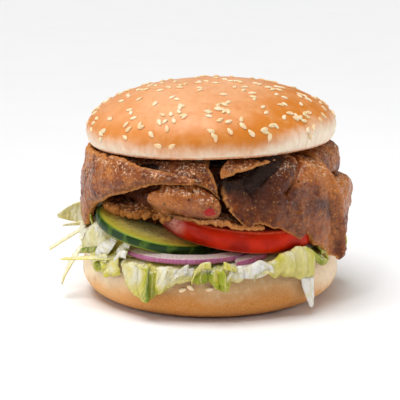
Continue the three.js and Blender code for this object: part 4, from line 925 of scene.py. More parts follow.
pile = {"low": 34, "foot": 36.5, "radius": 39.5, "widestAt": 46, "top": 35.5, "high": 58, "fine": (90, 260)}
clearance = {"gap": 0.4, "round": 1.5, "most": 14}  # between the cut slices and what lies on or under them
slices = {
    "meat_left": [
        {"fine": (150, 96), "torn": (1.2, 2.4), "tone": -0.35, "paintedLightAndTone": [
            (0.6, 0.66, 0.05, -3.0), (0.7, 0.85, 0.12, 0.6),
        ], "sections": [
            [[-205, 24, 59.2], [-200, 38, 59.6], [-197, 45, 57.5], [-195, 47.4, 48], [-192, 50, 36.4]],
            [[-176, 24, 59.3], [-173, 38, 59.8], [-171, 44.6, 57.6], [-170, 47, 48], [-168, 50.2, 34]],
            [[-160, 24, 59.4], [-156, 38, 60], [-153, 44, 58], [-152, 46.4, 52], [-150, 49.6, 42.8]],
            [[-140, 24, 59.6], [-138, 38, 60.2], [-137, 43.6, 58.6], [-136, 45.8, 54.6], [-135, 49, 48.8]],
            [[-124, 24, 59.6], [-121, 38, 60.3], [-120, 44, 59.2], [-120, 46, 56.6], [-119, 49, 53.4]],
            [[-108, 24, 59.6], [-105, 38, 60.3], [-104, 44.6, 59.6],
             [-103, 46.8, 57.8], [-102, 48.6, 55.4]],
            [[-91, 24, 59.4], [-90.5, 38, 60.2], [-89.6, 46.4, 59.8],
             [-88, 48.2, 55.4], [-84.8, 49.4, 47.6]],
        ]},
        {"fine": (260, 84), "torn": (0.4, 2.2), "crest": 1.8, "tone": 0.15, "taper": (0.62, 1.0),
         "whole": 0.6,
         "paintedLightAndTone": [
            (0.9, 0.1, 0.3, 0.5),
        ], "sections": [
            [[-204, 47.8, 61], [-202, 49.8, 56], [-199, 50.8, 48], [-196, 50.8, 41], [-193, 50, 35]],
            [[-184, 48, 61], [-183, 49.6, 55], [-182, 50.8, 46], [-180, 51, 38], [-176, 50.6, 31]],
            [[-171, 48, 61.2], [-170, 49.4, 55], [-169.5, 50.8, 46], [-169, 51, 37], [-168, 50.4, 28.8]],
            [[-160, 48, 61.4], [-159, 49.8, 56], [-159, 51.2, 50], [-158.5, 50.8, 44], [-158, 48.8, 39.6]],
            [[-148, 48, 61.6], [-147, 50.8, 57.6], [-146, 52, 53], [-146, 51.6, 47.6], [-146, 49.4, 43.6]],
            [[-134, 48.4, 61.8], [-134, 50.8, 59], [-133, 52, 55.6],
             [-132, 51.4, 51.4], [-132, 49.2, 48.6]],
            [[-124.5, 49, 60], [-124.5, 50.8, 58.4], [-124, 51.8, 56.2],
             [-123.5, 51.2, 53.4], [-123, 49.4, 51.8]],
            [[-113, 49, 58.6], [-113, 50.6, 57.6], [-113, 51.2, 56.4],
             [-113, 50.8, 55.2], [-113, 49.2, 54]],
            [[-97, 48.6, 55.4], [-97, 49.6, 55.3], [-97, 50, 55.1], [-97, 49.8, 54.9], [-97, 48.8, 54.7]],
        ]},
    ],
    "meat_roll": [
        {"fine": (180, 120), "torn": (0, 0.8), "tone": 0.1, "bunch": 2, "swell": (4, 9.2), "crag": 2.1,
         "whole": 20,
         "paintedLightAndTone": [
            (1.0, 0.5, 0.5, 0.5), (0.6, 0.0, 0.12, 1.2),
        ], "sections": [
            [[-113, 34, 48.2], [-116, 42, 48], [-119.5, 49.2, 46.8]],
            [[-108, 32, 48.4], [-110, 42, 48.1], [-112, 50.6, 47.1]],
            [[-101, 30, 48.2], [-102, 42, 47.8], [-103, 51, 46.8]],
            [[-95, 30, 47.6], [-95, 42, 47], [-95, 51, 45.8]],
            [[-88, 32, 46], [-87, 42, 45], [-85.5, 50.4, 43.6]],
        ]},
        {"fine": (260, 60), "torn": (2.4, 0.5), "tone": 0.3, "thick": 2.2, "crag": 1.2, "nibble": 3.0,
         "paintedLightAndTone": [
            (0.9, 0.05, 0.4, -1.4),
        ], "sections": [
            [[-111, 38, 43], [-111, 44, 43], [-111, 49, 42.4]],
            [[-100, 36, 42], [-100, 44, 41.8], [-100, 50, 40.8]],
            [[-89, 38, 41], [-89, 45, 40.6], [-89, 50.4, 39]],
            [[-79, 40, 39.4], [-79, 46, 38.8], [-78, 51, 37.2]],
            [[-66, 44, 38], [-66, 48, 37], [-66, 50.8, 36]],
        ]},
    ],
    "meat_crumb": [
        {"fine": (340, 100), "torn": (6.5, 0.6), "tone": 0.35, "swell": (1.8, 1.8), "crag": 1.5,
         "nibble": 2.4,
         "paintedLightAndTone": [
            (0.3, 0.5, 0.35, -1.3), (1.0, 0.3, 0.3, 1.1), (1.0, 0.75, 0.3, 1.1),
        ], "sections": [
            [[-171, 26, 42], [-170, 36, 41.4], [-169, 43.4, 39.6]],
            [[-155, 26, 42.4], [-156, 37, 41], [-157, 46.6, 38.8]],
            [[-140, 26, 42], [-141, 36, 40.6], [-142, 46, 37.8]],
            [[-126, 28, 41], [-126, 35, 40], [-127, 41.6, 37]],
            [[-113, 30, 40.6], [-113, 35, 39.8], [-113, 39.8, 37.4]],
        ]},
    ],
    "meat_right": [
        {"fine": (280, 150), "torn": (2.2, 1.6), "tone": 0.0, "paintedLightAndTone": [
            (0.34, 0.1, 0.17, -2.2), (0.5, 0.14, 0.14, -1.6), (0.7, 0.24, 0.12, -0.7),
            (0.3, 0.3, 0.1, -0.7), (0.3, 0.4, 0.08, 1.0), (0.5, 0.56, 0.14, 0.9), (0.94, 0.3, 0.16, 0.1),
            (0.74, 0.55, 0.08, -0.5), (0.6, 0.74, 0.16, 0.8), (0.5, 0.86, 0.15, 0.6),
            (0.96, 0.6, 0.1, 0.6),
        ], "lessLitSpots": [(0.75, 0.2, 0.2), (0.7, 0.38, 0.14)], "folds": [
            {"path": [(0.2, 0.5), (0.38, 0.45), (0.55, 0.4), (0.68, 0.34)], "lift": 3.4, "width": 3.4,
             "steep": 2.6},
            {"path": [(0.3, 0.475), (0.5, 0.5), (0.66, 0.52)], "lift": -1.7, "width": 3.0},
            {"path": [(0.36, 0.5), (0.5, 0.55), (0.64, 0.6), (0.8, 0.62), (0.97, 0.62)], "lift": 1.9,
             "width": 2.4},
            {"path": [(0.3, 0.62), (0.5, 0.665), (0.75, 0.68), (0.92, 0.69)], "lift": -3.2, "width": 2.6},
            {"path": [(0.3, 0.74), (0.7, 0.76), (0.9, 0.76)], "lift": 1.2, "width": 3.2},
            {"path": [(0.3, 0.34), (0.45, 0.27), (0.62, 0.17)], "lift": 1.5, "width": 1.8},
            {"path": [(0.25, 0.26), (0.4, 0.17), (0.5, 0.1)], "lift": -4.2, "width": 6.5, "fade": 0.3},
        ], "sections": [
            [[-70, 30, 54], [-79, 39, 55], [-86, 46.6, 54.8],
             [-86, 49.4, 50.4], [-82.5, 51, 44], [-75, 51.4, 37.6]],
            [[-60, 26, 56], [-68, 35, 57.4], [-75, 39.6, 54.6],
             [-75, 45.8, 49], [-71, 50.8, 43.2], [-68, 52, 37]],
            [[-50, 26, 58], [-58, 39, 60.6], [-63, 46, 57.6],
             [-66.5, 50.6, 51.4], [-65, 51.6, 44], [-60.5, 52, 36]],
            [[-40, 26, 58.8], [-52, 41, 61], [-54.5, 49.4, 59.4],
             [-57, 52.4, 53.4], [-57, 52.4, 44], [-53.5, 52.2, 32.6]],
            [[-30, 26, 58.6], [-44, 41, 61], [-47, 50.2, 58.8],
             [-47.5, 52.8, 52], [-47.5, 52.8, 41], [-45.5, 52.4, 28]],
            [[-20, 26, 57.6], [-35, 41, 59.6], [-40, 51.4, 56.6],
             [-36.5, 54, 49.6], [-35, 53.8, 38], [-35.5, 53, 24.2]],
            [[-8, 28, 54], [-24, 40, 55.6], [-30, 50, 52],
             [-27, 53.6, 44], [-24.5, 53, 32], [-21, 53, 17.8]],
            [[4, 34, 48], [-6, 44, 49.6], [-14, 53.4, 48.2],
             [-14, 55.8, 42], [-16, 54.6, 33], [-16.5, 53.6, 20.6]],
            [[16, 36, 46.4], [8, 46, 47.4], [2, 54.6, 46], [1, 56.2, 40], [-2, 55, 32], [-4, 53.6, 25]],
            [[28, 36, 46], [24, 44, 46.6], [20, 51.6, 44.4], [18, 53.4, 38], [16, 53, 32], [15, 52.6, 28]],
        ]},
    ],
    "meat_sliver": [
        {"fine": (110, 60), "torn": (0.5, 0.5), "tone": 0.1, "thick": 1.9, "sections": [
            [[-74, 30, 61], [-80, 40, 61.3], [-84, 44.6, 60.6], [-86, 46.4, 58.4], [-85.8, 47, 55.6]],
            [[-68, 30, 61], [-72, 40, 61.4], [-73, 44.8, 61.2], [-73.4, 47, 60.6], [-73.2, 48.2, 59.2]],
            [[-56, 30, 61], [-57, 40, 61.4], [-58, 44.6, 61.8], [-58.6, 46.8, 62], [-59, 48.2, 62]],
        ]},
    ],
    "meat_right_back": [
        {"fine": (150, 80), "torn": (0.8, 0.6), "tone": 0.05, "sections": [
            [[-30, 28, 60.8], [-31, 40, 61.2], [-32, 46.6, 60.4], [-32, 48.4, 56], [-32, 47.4, 53]],
            [[-10, 28, 61], [-10, 41, 61.6], [-11, 49, 60], [-12, 50.4, 55], [-13, 49, 51.6]],
            [[8, 28, 61], [8, 41, 61.6], [8, 49, 60.2], [8, 50.4, 55], [8, 49, 50.6]],
            [[28, 28, 60.8], [26, 41, 61.4], [24, 49, 60], [23, 50, 55], [22, 49, 50]],
        ]},
    ],
    "meat_rear_right": [
        {"fine": (140, 100), "torn": (1.4, 1.8), "tone": 0.0, "sections": [
            [[36, 28, 59.4], [32, 41, 60.6], [30, 50, 57], [29, 53, 47], [28, 52, 37]],
            [[56, 28, 59.6], [54, 41, 60.8], [52, 50.4, 57.4], [51, 53.4, 46], [50, 52.8, 33]],
            [[80, 28, 59.4], [78, 41, 60.6], [76, 49.4, 57.4], [75, 52, 49], [74, 50.8, 40]],
        ]},
    ],
    "meat_rear_middle": [
        {"fine": (140, 90), "torn": (1.4, 1.8), "tone": 0.2, "sections": [
            [[84, 30, 54.4], [82, 40, 54.6], [81, 46.6, 51], [80, 49.2, 43], [79, 50, 35.6]],
            [[104, 30, 54.8], [103, 40, 55.4], [102, 48, 51.4], [101, 51, 42], [100, 51.6, 32]],
            [[126, 30, 54.4], [124, 40, 54.6], [122, 46.8, 50.4], [121, 49.6, 43], [120, 50, 36.6]],
        ]},
    ],
    "meat_rear_left": [
        {"fine": (150, 90), "torn": (1.4, 1.8), "tone": -0.1, "sections": [
            [[90, 28, 60.6], [93, 41, 61.2], [96, 49, 59], [97, 51.4, 53], [98, 50.4, 46]],
            [[118, 28, 60.8], [119, 41, 61.4], [120, 50.8, 58.4], [120, 53.6, 48], [120, 53, 38]],
            [[146, 28, 60.6], [145, 41, 61.2], [144, 50, 57.4], [143, 52.6, 47], [143, 52, 37]],
        ]},
    ],
}


def donerShape(layer):
    across, down = layer["fine"]
    seed = layer["sections"][0][0][0]
    salt = int(abs(seed))
    line = np.linspace(0, 1, across)
    u, v = sheetGrid(across, down)
    width, fall = spans(layer["sections"], line)
    tornHem, tornSide = layer["torn"]
    tear = 0.045 * (tornHem > 0) * (np.sin(19 * line + seed) + 0.6 * np.sin(37 * line + 2 * seed))
    nibble = np.abs(wavering(line, width, layer.get("nibble", 4.4), salt)) * 1.3 * tornHem / fall
    reach = (1 - np.maximum(0, tear) - nibble)[:, None]
    drop = (1 - (1 - v) ** layer.get("bunch", 1)) * reach
    crest = np.abs(wavering(line, width, 3.2, salt + 13)) * 1.3 * layer.get("crest", 0) / fall
    drop = crest[:, None] + drop * (1 - crest[:, None])
    left, right = (nibbled(down, fall, 4, salt + k, 0.5) * tornSide / width for k in (5, 9))
    spread = left + u * (1 - left - right)
    middle = surfaceAt(layer["sections"], spread, drop)
    wrinkle = 0.55 * swells(middle, 7.5, salt) + 0.35 * swells(middle * np.array([1, 1, 0.6]), 3.4, salt + 3)
    for fold in layer.get("folds", []):
        at, side = np.array(fold["path"]).T
        away = (spread - np.interp(drop, at, side)) * width / fold["width"]
        fade = fold.get("fade", 0.08)
        shown = np.clip((drop - at[0]) / fade + 1, 0, 1) * np.clip((at[-1] - drop) / fade + 1, 0, 1)
        away = np.where(away > 0, away * fold.get("steep", 1), away)
        wrinkle = wrinkle + fold["lift"] * shown * np.exp(-np.abs(away) ** 1.3)
    middle = lifted(middle, wrinkle)
    thick = layer.get("thick", doner["thick"]) * (0.92 + 0.16 * swells(middle, 5, salt + 7))
    if "swell" in layer:
        low, rise = layer["swell"]
        thick = low + rise * np.sin(np.pi * (0.12 + 0.8 * u))
        if "bunch" in layer:
            thick = (low + rise * np.sin(np.pi * (0.1 + 0.72 * u)) ** 0.8) * np.sqrt(1.03 - v**5)
    if "taper" in layer:
        first, last = layer["taper"]
        thick = thick * (1 - 0.6 * np.clip((u - first) / (last - first), 0, 1))

    def fromHem(edge):  # a whole hem counts as far from any edge, so that it neither frays nor browns
        return edge * layer.get("whole", 1) + max(0, layer.get("whole", 1) - 5)

    def relief(points, side, edge):
        crumbs = np.clip(swells(points, 1.7, salt + 21 + side), -0.3, 1)
        grain = 0.13 * swells(points, 1.0, salt + 51 + side)
        fray = 0.6 * np.exp(-fromHem(edge) / 2.4) * crags(points, 1.8, 2, salt + 41 + side)
        coarse = 0.28 * swells(points, 2.8, salt + 11 + side)
        return layer.get("crag", 1) * (coarse + 0.28 * crumbs + grain) + fray

    shape = sheetShape(middle, thick, relief)
    marks = shape["marks"]
    marks["edge"] = fromHem(marks["edge"])
    # Spots marked as turned from the light: less painted highlight and more painted shade there.
    for atDrop, atSide, reach in layer.get("lessLitSpots", []):
        near = bump((drop - atDrop) / reach, (spread - atSide) / reach)
        marks["catch"] = marks["catch"] - 0.5 * np.tile(near.ravel(), 2)
    tone = layer["tone"] + np.zeros_like(u)
    # Spots of painted shade and painted light, some of them the meat's own lighter or darker colour.
    for atDrop, atSide, reach, amount in layer.get("paintedLightAndTone", []):
        tone = tone + amount * bump((drop - atDrop) / reach, (spread - atSide) / reach)
    marks["tone"] = np.tile(tone.ravel(), 2) + 0.35 * swells(shape["points"], 9, salt + 30)
    return shape


def clearOfSlices(points, side):  # off the tomato and the cucumber: side 1 stays over them, -1 under them
    for s in (tomato, cucumber):
        middle = turnedBy(np.zeros((1, 3)), s["pitch"], s["roll"], s["at"])[0]
        axis = turnedBy(np.array([[0, 0, 1.0]]), s["pitch"], s["roll"], (0, 0, 0))[0]
        away = points - middle
        level = away @ axis
        near = np.linalg.norm(away - level[:, None] * axis, axis=1) < s["radius"] + clearance["round"]
        push = np.clip(s["thick"] / 2 + clearance["gap"] - side * level, 0, clearance["most"])
        points = points + side * axis * np.where(near, push, 0)[:, None]
    return points


def pileShape():
    p = pile
    wall = [[p["foot"], p["low"]], [p["radius"], p["widestAt"]], [p["top"], p["high"]]]
    profile = [[0, p["low"]], *wall, [0, p["high"]]]
    points, quads, tris = turnedShape(profile, p["fine"])
    out = 1 + (1.4 * lumps(points, 5, 7) + 0.8 * crags(points, 5, 3, 60)) / p["radius"]
    points[:, :2] *= out[:, None]
    points[:, 2] += 0.5 * swells(points, 4, 61)
    # The core shows only in the gaps between the slices and is painted dark there as shade: a low tone, and
    # marked as turned from the light.
    return {"points": clearOfSlices(points, 1), "quads": quads, "tris": tris,
            "marks": {"tone": -0.6, "edge": 5.0, "catch": 0.0}}


def donerLook():
    look = Board("donerMeat", **{"Coat Roughness": 0.16, "Specular IOR Level": 0.2})
    spot = look.spot()
    chart = look.chart()
    tone, edge, catch = look.mark("tone"), look.mark("edge"), look.mark("catch")
    drift = look.noise(spot, 9, 4, 0.6)
    patch = look.noise(spot, 3.2, 4, 0.62)
    fine = look.noise(spot, 0.9, 4, 0.6)
    fibres = look.noise(look.stretched(chart, (1, 0.5, 1)), 1.5, 4, 0.6)
    kernels = look.cells(spot, 1.25)
    deep = look.cells(spot, 4.2)
    color = look.mix((patch + tone * 0.3).ramp(0.3, 0.66), doner["dark"], doner["brown"])
    color = look.mix((drift + tone * 0.25 + (fine - 0.5) * 0.5).ramp(0.46, 0.76), color, doner["tan"])
    color = look.mix((1 - kernels.ramp(0.1, 0.42)) * patch.ramp(0.45, 0.62) * 0.6, color, doner["fat"])
    color = look.mix(fibres.ramp(0.56, 0.74) * 0.3, color, doner["fibre"])
    color = look.mix(look.noise(spot, 12, 3, 0.65).ramp(0.5, 0.66) * 0.35, color, doner["pink"])
    shaded = (0 - tone).ramp(0.5, 1.5)
    color = look.mix(shaded * 0.88, color, doner["shade"])
    # The pits are sunk by the bump and painted near black: painted shade in them.
    shadedPits = (1 - deep.ramp(0.05, 0.17)) * fine.ramp(0.42, 0.55)
    color = look.mix(shadedPits * 0.85, color, doner["pitShade"])
    # Where the sheet faces away from the light above, it is painted darker: painted shade.
    hollows = 1 - catch.ramp(-0.1, 0.62)
    color = look.mix(hollows * 0.55, color, doner["dark"])
    frayed = (1 - (edge + (fine - 0.5) * 1.6).ramp(0.2, 1.5)) * (0.55 + tone * 0.3)
    color = look.mix(frayed, color, doner["crust"])
    wet = (drift + tone * 0.14).ramp(0.3, 0.48) * (1 - frayed) * (1 - shaded)
    # Pale glints are painted where the wet surface faces the light: painted highlights.
    paintedGlints = catch.ramp(0.62, 0.94) * look.noise(spot, 1.0, 3, 0.7).ramp(0.5, 0.64) * wet
    color = look.mix(paintedGlints * 0.8, color, doner["paintedGlint"])
    flat = (0.8, 1, 1.4)
    middle = tuple(value * stretch * mm for value, stretch in zip(doner["chilliAt"], flat))
    ends = {0: look.stretched(spot, flat), 1: middle}
    away = look.add("ShaderNodeVectorMath", {"operation": "DISTANCE"}, ends, "Value")
    chilli = 1 - (away + (patch - 0.5) * 0.004 + (fine - 0.5) * 0.002).ramp(0.0018, 0.0022)
    color = look.mix(chilli, color, doner["chilli"])
    height = (fine * 0.35 + patch * 1.0 + (1 - kernels) * 0.7 + fibres * 0.15) - shadedPits * 0.9
    return look.finish(color, 0.5 - wet * 0.22 + frayed * 0.2, height, 0.7, wet * 0.3)


donerFinish = donerLook()
for node, layers in slices.items():
    name = node.replace("meat", "doner")
    makePiece(name, [donerShape(layer) for layer in layers], donerFinish, [node])
makePiece("doner_pile", [pileShape()], donerFinish, ["meat_pile"])
print("doner meat made")

# Lettuce: a bed, leaves that hang over the bun, strips and short shreds

lettuce = {"thick": 0.6, "fold": 0.6, "white": (255, 250, 236), "cream": (234, 218, 142),
           "pale": (204, 194, 54), "green": (150, 160, 10), "dark": (76, 116, 12), "hollow": (156, 142, 8),
           "paintedGlint": (255, 255, 240)}
bed = {"low": 22.4, "least": 22.3, "high": 31, "radius": 48, "fine": (110, 320)}
leaves = {
    "front leaf": {"fine": (139, 69), "green": 0.12, "ruffle": 0.8, "folds": [
        (0.54, -0.08, 0.06, -4.6), (0.3, -0.04, 0.12, 2.2), (0.7, -0.2, 0.06, 2.6),
        (0.86, -0.2, 0.04, -1.6), (0.94, -0.1, 0.03, 1.2),
    ], "paintedLightAndTone": [
        (0.5, 0.6, 0.09, 0.85), (0.46, 0.9, 0.12, 0.6), (0.28, 0.45, 0.12, -0.25), (0.95, 0.5, 0.08, -0.5),
        (0.62, 0.1, 0.14, 0.7), (0.72, 0.6, 0.1, -0.3),
    ], "sections": [
        [[-131.5, 44, 23.1], [-131.5, 50, 22.4], [-131, 53, 20.6], [-130, 53.6, 18.6], [-129.6, 53.4, 17]],
        [[-128, 44, 23.1], [-128, 50.4, 22.4], [-127.4, 54.2, 22], [-126.6, 55, 15.6], [-125.6, 54, 12]],
        [[-124, 44, 23.1], [-124, 50.4, 22.5], [-123, 54.6, 22.4], [-121.6, 55.8, 13.6], [-121, 54.6, 8.6]],
        [[-120.5, 44, 23.1], [-120.5, 50.4, 22.5], [-119.4, 54.2, 21.6],
         [-118.6, 55, 13], [-118.4, 54.4, 8]],
        [[-117, 44, 23.1], [-116.6, 50, 22.3], [-116, 53, 20], [-115.6, 53.8, 13.6], [-115.6, 53.6, 9]],
        [[-113, 44, 23.1], [-113, 50.2, 22.3], [-112.6, 54, 21.6], [-112, 55, 15], [-112, 54, 11.6]],
        [[-108, 44, 23.1], [-108, 50.2, 22.3], [-108, 54, 21.8], [-107.6, 54.8, 17], [-107.4, 54, 14.2]],
        [[-102.5, 44, 23.1], [-102.5, 50, 22.3], [-102.5, 53.4, 21.4],
         [-102.5, 54, 18.6], [-102.5, 53.4, 16.8]],
        [[-96.5, 44, 23.1], [-96.5, 50, 22.3], [-96.4, 52.8, 21.4], [-96.2, 53.4, 19.6], [-96, 53, 17.8]],
    ]},
    "left leaf": {"fine": (88, 50), "green": 0.4, "ruffle": 1.1, "folds": [
        (0.2, 0.3, 0.07, 1.6), (0.5, 0.2, 0.06, -1.8), (0.9, -0.3, 0.07, 1.4),
    ], "paintedLightAndTone": [(0.45, 0.6, 0.14, 0.6), (0.1, 0.8, 0.14, -0.6), (0.8, 0.7, 0.12, -0.4)], "sections": [
        [[-156, 44, 22.8], [-156, 50, 22.4], [-155, 52.4, 20], [-154.4, 52.8, 18], [-154, 52.8, 17]],
        [[-150, 44, 22.9], [-150, 50.6, 23], [-149.4, 53.6, 20.6], [-149, 54, 17.4], [-149, 53.4, 14.8]],
        [[-144, 44, 22.9], [-144, 50.6, 22.8], [-143.6, 53, 20], [-143.4, 53.4, 17.2], [-143.4, 53, 15.4]],
        [[-138, 44, 23.1], [-138, 51, 23.2], [-137.4, 54, 20.4], [-137, 54.4, 17.4], [-137, 53.6, 15]],
        [[-131.5, 44, 22.9], [-131.5, 50.4, 22.8], [-131, 52.6, 20.6],
         [-130.6, 53, 18.6], [-130.4, 52.8, 17]],
    ]},
    "green scrap under the onion": {"fine": (32, 32), "green": 0.7, "ruffle": 0.7, "sections": [
        [[-98, 44, 23.1], [-98, 50, 22.3], [-98, 53, 21.4], [-98, 53.4, 19.4], [-98, 53, 17.6]],
        [[-94.5, 44, 23.1], [-94.5, 50.2, 22.3], [-94.5, 53.6, 21.6],
         [-94.5, 54.4, 19], [-94.5, 53.8, 16.6]],
        [[-91, 44, 23.1], [-91, 50, 22.3], [-91, 52.8, 21.4], [-91, 53.2, 19.4], [-91, 53, 17.8]],
    ]},
    "middle leaf": {"fine": (57, 50), "green": 0.5, "ruffle": 1.1, "folds": [
        (0.3, 0.3, 0.08, 1.6), (0.55, 0.3, 0.07, -1.6),
    ], "paintedLightAndTone": [(0.2, 0.3, 0.3, 0.5), (0.7, 0.7, 0.2, 0.3), (0.4, 0.6, 0.1, -0.5)], "sections": [
        [[-93.5, 44, 23.1], [-93, 50, 22.3], [-92.6, 53, 21.6], [-92, 53.6, 20.2], [-91.6, 53.4, 18.8]],
        [[-89, 44, 23.1], [-89, 50.2, 22.3], [-88.8, 54, 21.6], [-88.4, 55, 17.6], [-88, 54.4, 15]],
        [[-85, 44, 23.1], [-85, 50.2, 22.3], [-85, 54.2, 21.4], [-85.2, 55, 16.6], [-85.4, 54.2, 13.8]],
        [[-81, 44, 23.1], [-81, 50, 22.3], [-81, 53.4, 21], [-81.6, 54.2, 18], [-82, 53.6, 16]],
    ]},
    "pale petal": {"fine": (28, 28), "green": -0.15, "ruffle": 0.3, "sections": [
        [[-83, 44, 23.1], [-83, 50, 22.3], [-83, 52.6, 21.2], [-82.6, 53, 19.4], [-82.4, 52.8, 17.8]],
        [[-79.5, 44, 23.1], [-79.5, 50, 22.3], [-79.5, 53.4, 21.2], [-79.2, 53.8, 19], [-79, 53.2, 16.8]],
        [[-76, 44, 23.1], [-76, 50, 22.3], [-76, 52.6, 21.2], [-76.2, 53, 19.6], [-76.4, 52.8, 18]],
    ]},
    "white petal": {"fine": (40, 35), "green": -0.3, "ruffle": 0.4, "sections": [
        [[-78.5, 45, 23.1], [-78.5, 50, 22.3], [-78.4, 52.6, 21.4], [-78.2, 53, 20], [-78, 52.8, 18.6]],
        [[-74, 45, 23.1], [-74, 50.4, 22.5], [-73.8, 53.6, 23.4], [-73.4, 54.6, 21], [-73.2, 53.4, 18]],
        [[-70, 45, 23.1], [-70, 50.6, 22.8], [-69.8, 53.4, 24.8], [-69.4, 54.8, 21.6], [-69, 53.4, 18.4]],
        [[-66.4, 45, 23.1], [-66.4, 50.4, 22.8], [-66.2, 53, 23.4], [-66, 53.2, 21], [-66, 53, 19.4]],
    ]},
    "right leaf": {"fine": (120, 69), "green": 0.14, "ruffle": 0.5, "trim": 0.16, "folds": [
        (0.3, 0.14, 0.05, -1.4), (0.5, 0.12, 0.03, 0.9), (0.62, 0.1, 0.03, -0.9), (0.74, 0.06, 0.03, 0.9),
    ], "paintedLightAndTone": [(0.3, 0.4, 0.14, 0.3), (0.9, 0.4, 0.14, 0.5), (0.5, 0.3, 0.1, -0.25)], "sections": [
        [[-68, 44, 23.1], [-68, 50, 22.6], [-67.6, 52.4, 22.8],
         [-67.4, 53.4, 22.2], [-67, 53.6, 21.4], [-66.8, 53.4, 20.4]],
        [[-64, 44, 23.1], [-64, 50.4, 23], [-63.8, 53.2, 24.4],
         [-63.6, 54.8, 23], [-63.4, 54.6, 19.8], [-63.4, 53.4, 17.6]],
        [[-59.5, 44, 23.2], [-59.5, 50.8, 23.6], [-59.4, 53.6, 26.6],
         [-59.2, 55.4, 25.4], [-59.4, 55.4, 21], [-60, 53.8, 18.4]],
        [[-55, 44, 23.4], [-55, 51.2, 24], [-54.8, 54, 28],
         [-54.6, 56.2, 26.6], [-54.6, 56.4, 21], [-55, 54.6, 16.6]],
        [[-49.5, 44, 23.4], [-49.5, 51.4, 24], [-49.2, 54.2, 28.2],
         [-48.8, 56.4, 26], [-48.4, 56.6, 20], [-48.2, 54.8, 15.4]],
        [[-45, 44, 23.4], [-45, 50.8, 23.8], [-44.4, 53.6, 26.2],
         [-43.8, 55.6, 23.8], [-43, 55.2, 18.6], [-42.6, 54.2, 14.8]],
        [[-41, 44, 23.2], [-40.6, 50, 23], [-39.8, 52.8, 23.2],
         [-38.6, 54, 21], [-37.8, 54, 18.8], [-37.4, 53.6, 17.4]],
    ]},
    "white rib": {"fine": (32, 57), "green": -0.6, "ruffle": 0.2, "sections": [
        [[-51.5, 46, 22.9], [-51.4, 52, 22], [-51, 54, 17],
         [-49.6, 54.4, 12], [-47.6, 54.6, 7.6], [-45.6, 54.6, 4.2]],
        [[-47.5, 46, 22.9], [-47.4, 52.4, 22.4], [-47, 54.8, 17],
         [-46.4, 55.2, 12], [-45.6, 55.2, 7], [-44.6, 55, 3.2]],
        [[-43.6, 46, 22.9], [-43.4, 52, 22], [-42.8, 54, 17],
         [-42.4, 54.4, 12], [-42.4, 54.6, 7.4], [-43, 54.6, 3.6]],
    ]},
    "green leaf under the right slice": {"fine": (57, 44), "green": 0.8, "ruffle": 1.0, "sections": [
        [[-52, 44, 23.6], [-52, 50, 24.6], [-51, 52.4, 26.4], [-50, 53.8, 26.4], [-49, 53.6, 24.8]],
        [[-45, 44, 23.4], [-45, 50, 24], [-44, 52.6, 25.8], [-43, 54, 24.6], [-42.4, 53.8, 22]],
        [[-38, 44, 23.2], [-38, 50, 23], [-37.6, 52.6, 23], [-37, 54.4, 20.6], [-37, 54, 18.2]],
        [[-32, 44, 23], [-32, 49.6, 22.6], [-31.6, 52.2, 21.6], [-31, 53.8, 19.8], [-31, 53.4, 17.6]],
    ]},
    "far right leaf": {"fine": (38, 44), "green": 0.2, "ruffle": 0.6, "sections": [
        [[6, 44, 25], [6, 51, 25.6], [6, 55, 24], [6, 57, 19.6], [7, 57, 15.4]],
        [[11, 44, 25.4], [11, 52, 26.6], [11, 56.6, 24.6], [11, 58, 19.6], [11, 57.6, 14.4]],
        [[17, 44, 25], [17, 51.4, 25.6], [17, 55.4, 23.4], [16.6, 57, 18.8], [16, 56.6, 14.8]],
    ]},
    "pale leaf beside the cucumber": {"fine": (94, 69), "green": -0.02, "ruffle": 0.9, "folds": [
        (0.3, 0.1, 0.06, 1.6), (0.6, -0.1, 0.05, -2), (0.8, -0.1, 0.06, 1.2),
    ], "sections": [
        [[-178, 45, 31], [-178, 50, 30], [-177, 53, 28.6], [-175, 53.4, 25.6], [-173, 52.6, 22]],
        [[-170, 44, 30], [-169, 49, 28.6], [-168, 52.2, 27.6], [-167, 53.2, 24.8], [-166, 52.8, 21]],
        [[-160, 43, 32.4], [-159.4, 48, 32.8], [-158.6, 51.4, 29.6], [-158, 52.6, 25], [-158, 52.2, 21]],
        [[-151, 43, 30.6], [-150.6, 47.6, 30.8], [-150, 50.6, 28],
         [-149.6, 51.6, 25], [-149.6, 51.2, 22.4]],
        [[-143, 43, 28.6], [-143, 47, 28.8], [-142, 49.6, 27], [-141.6, 50.4, 24.8], [-141.6, 50.2, 22.8]],
    ]},
    "first petal on the left": {"fine": (38, 25), "green": -0.4, "ruffle": 0.15, "sections": [
        [[-141, 49, 29.6], [-138, 50.4, 30], [-135.4, 51, 29.2]],
        [[-146.6, 50.8, 26.6], [-142.6, 52.4, 26], [-138.4, 51.8, 25]],
        [[-151, 51.6, 23], [-147.4, 53, 22], [-142.6, 52, 21.6]],
        [[-152.6, 51.4, 19.8], [-150.4, 52, 19.4], [-147.6, 51.6, 19.6]],
    ]},
    "second petal on the left": {"fine": (28, 21), "green": -0.4, "ruffle": 0.15, "sections": [
        [[-131.6, 49.4, 29], [-129.6, 50, 29.4], [-127.8, 50, 29]],
        [[-135, 50.6, 26.6], [-132.4, 51.6, 26.4], [-129.4, 50.8, 25.6]],
        [[-137, 50.8, 23], [-134.4, 51.4, 22.8], [-131.4, 51, 23]],
    ]},
    "dark green bit at the left": {"fine": (32, 13), "green": 1.1, "ruffle": 0.3, "sections": [
        [[-150, 50.4, 24.4], [-150, 51, 23], [-150, 50.8, 21.6]],
        [[-156.6, 53.4, 23.2], [-156.8, 53.8, 21.6], [-157, 53.6, 20.4]],
        [[-160.6, 55, 21.6], [-161, 55.4, 20.4], [-161.2, 55.2, 19.6]],
    ]},
    "dark green bit by the petals": {"fine": (25, 13), "green": 1.1, "ruffle": 0.3, "sections": [
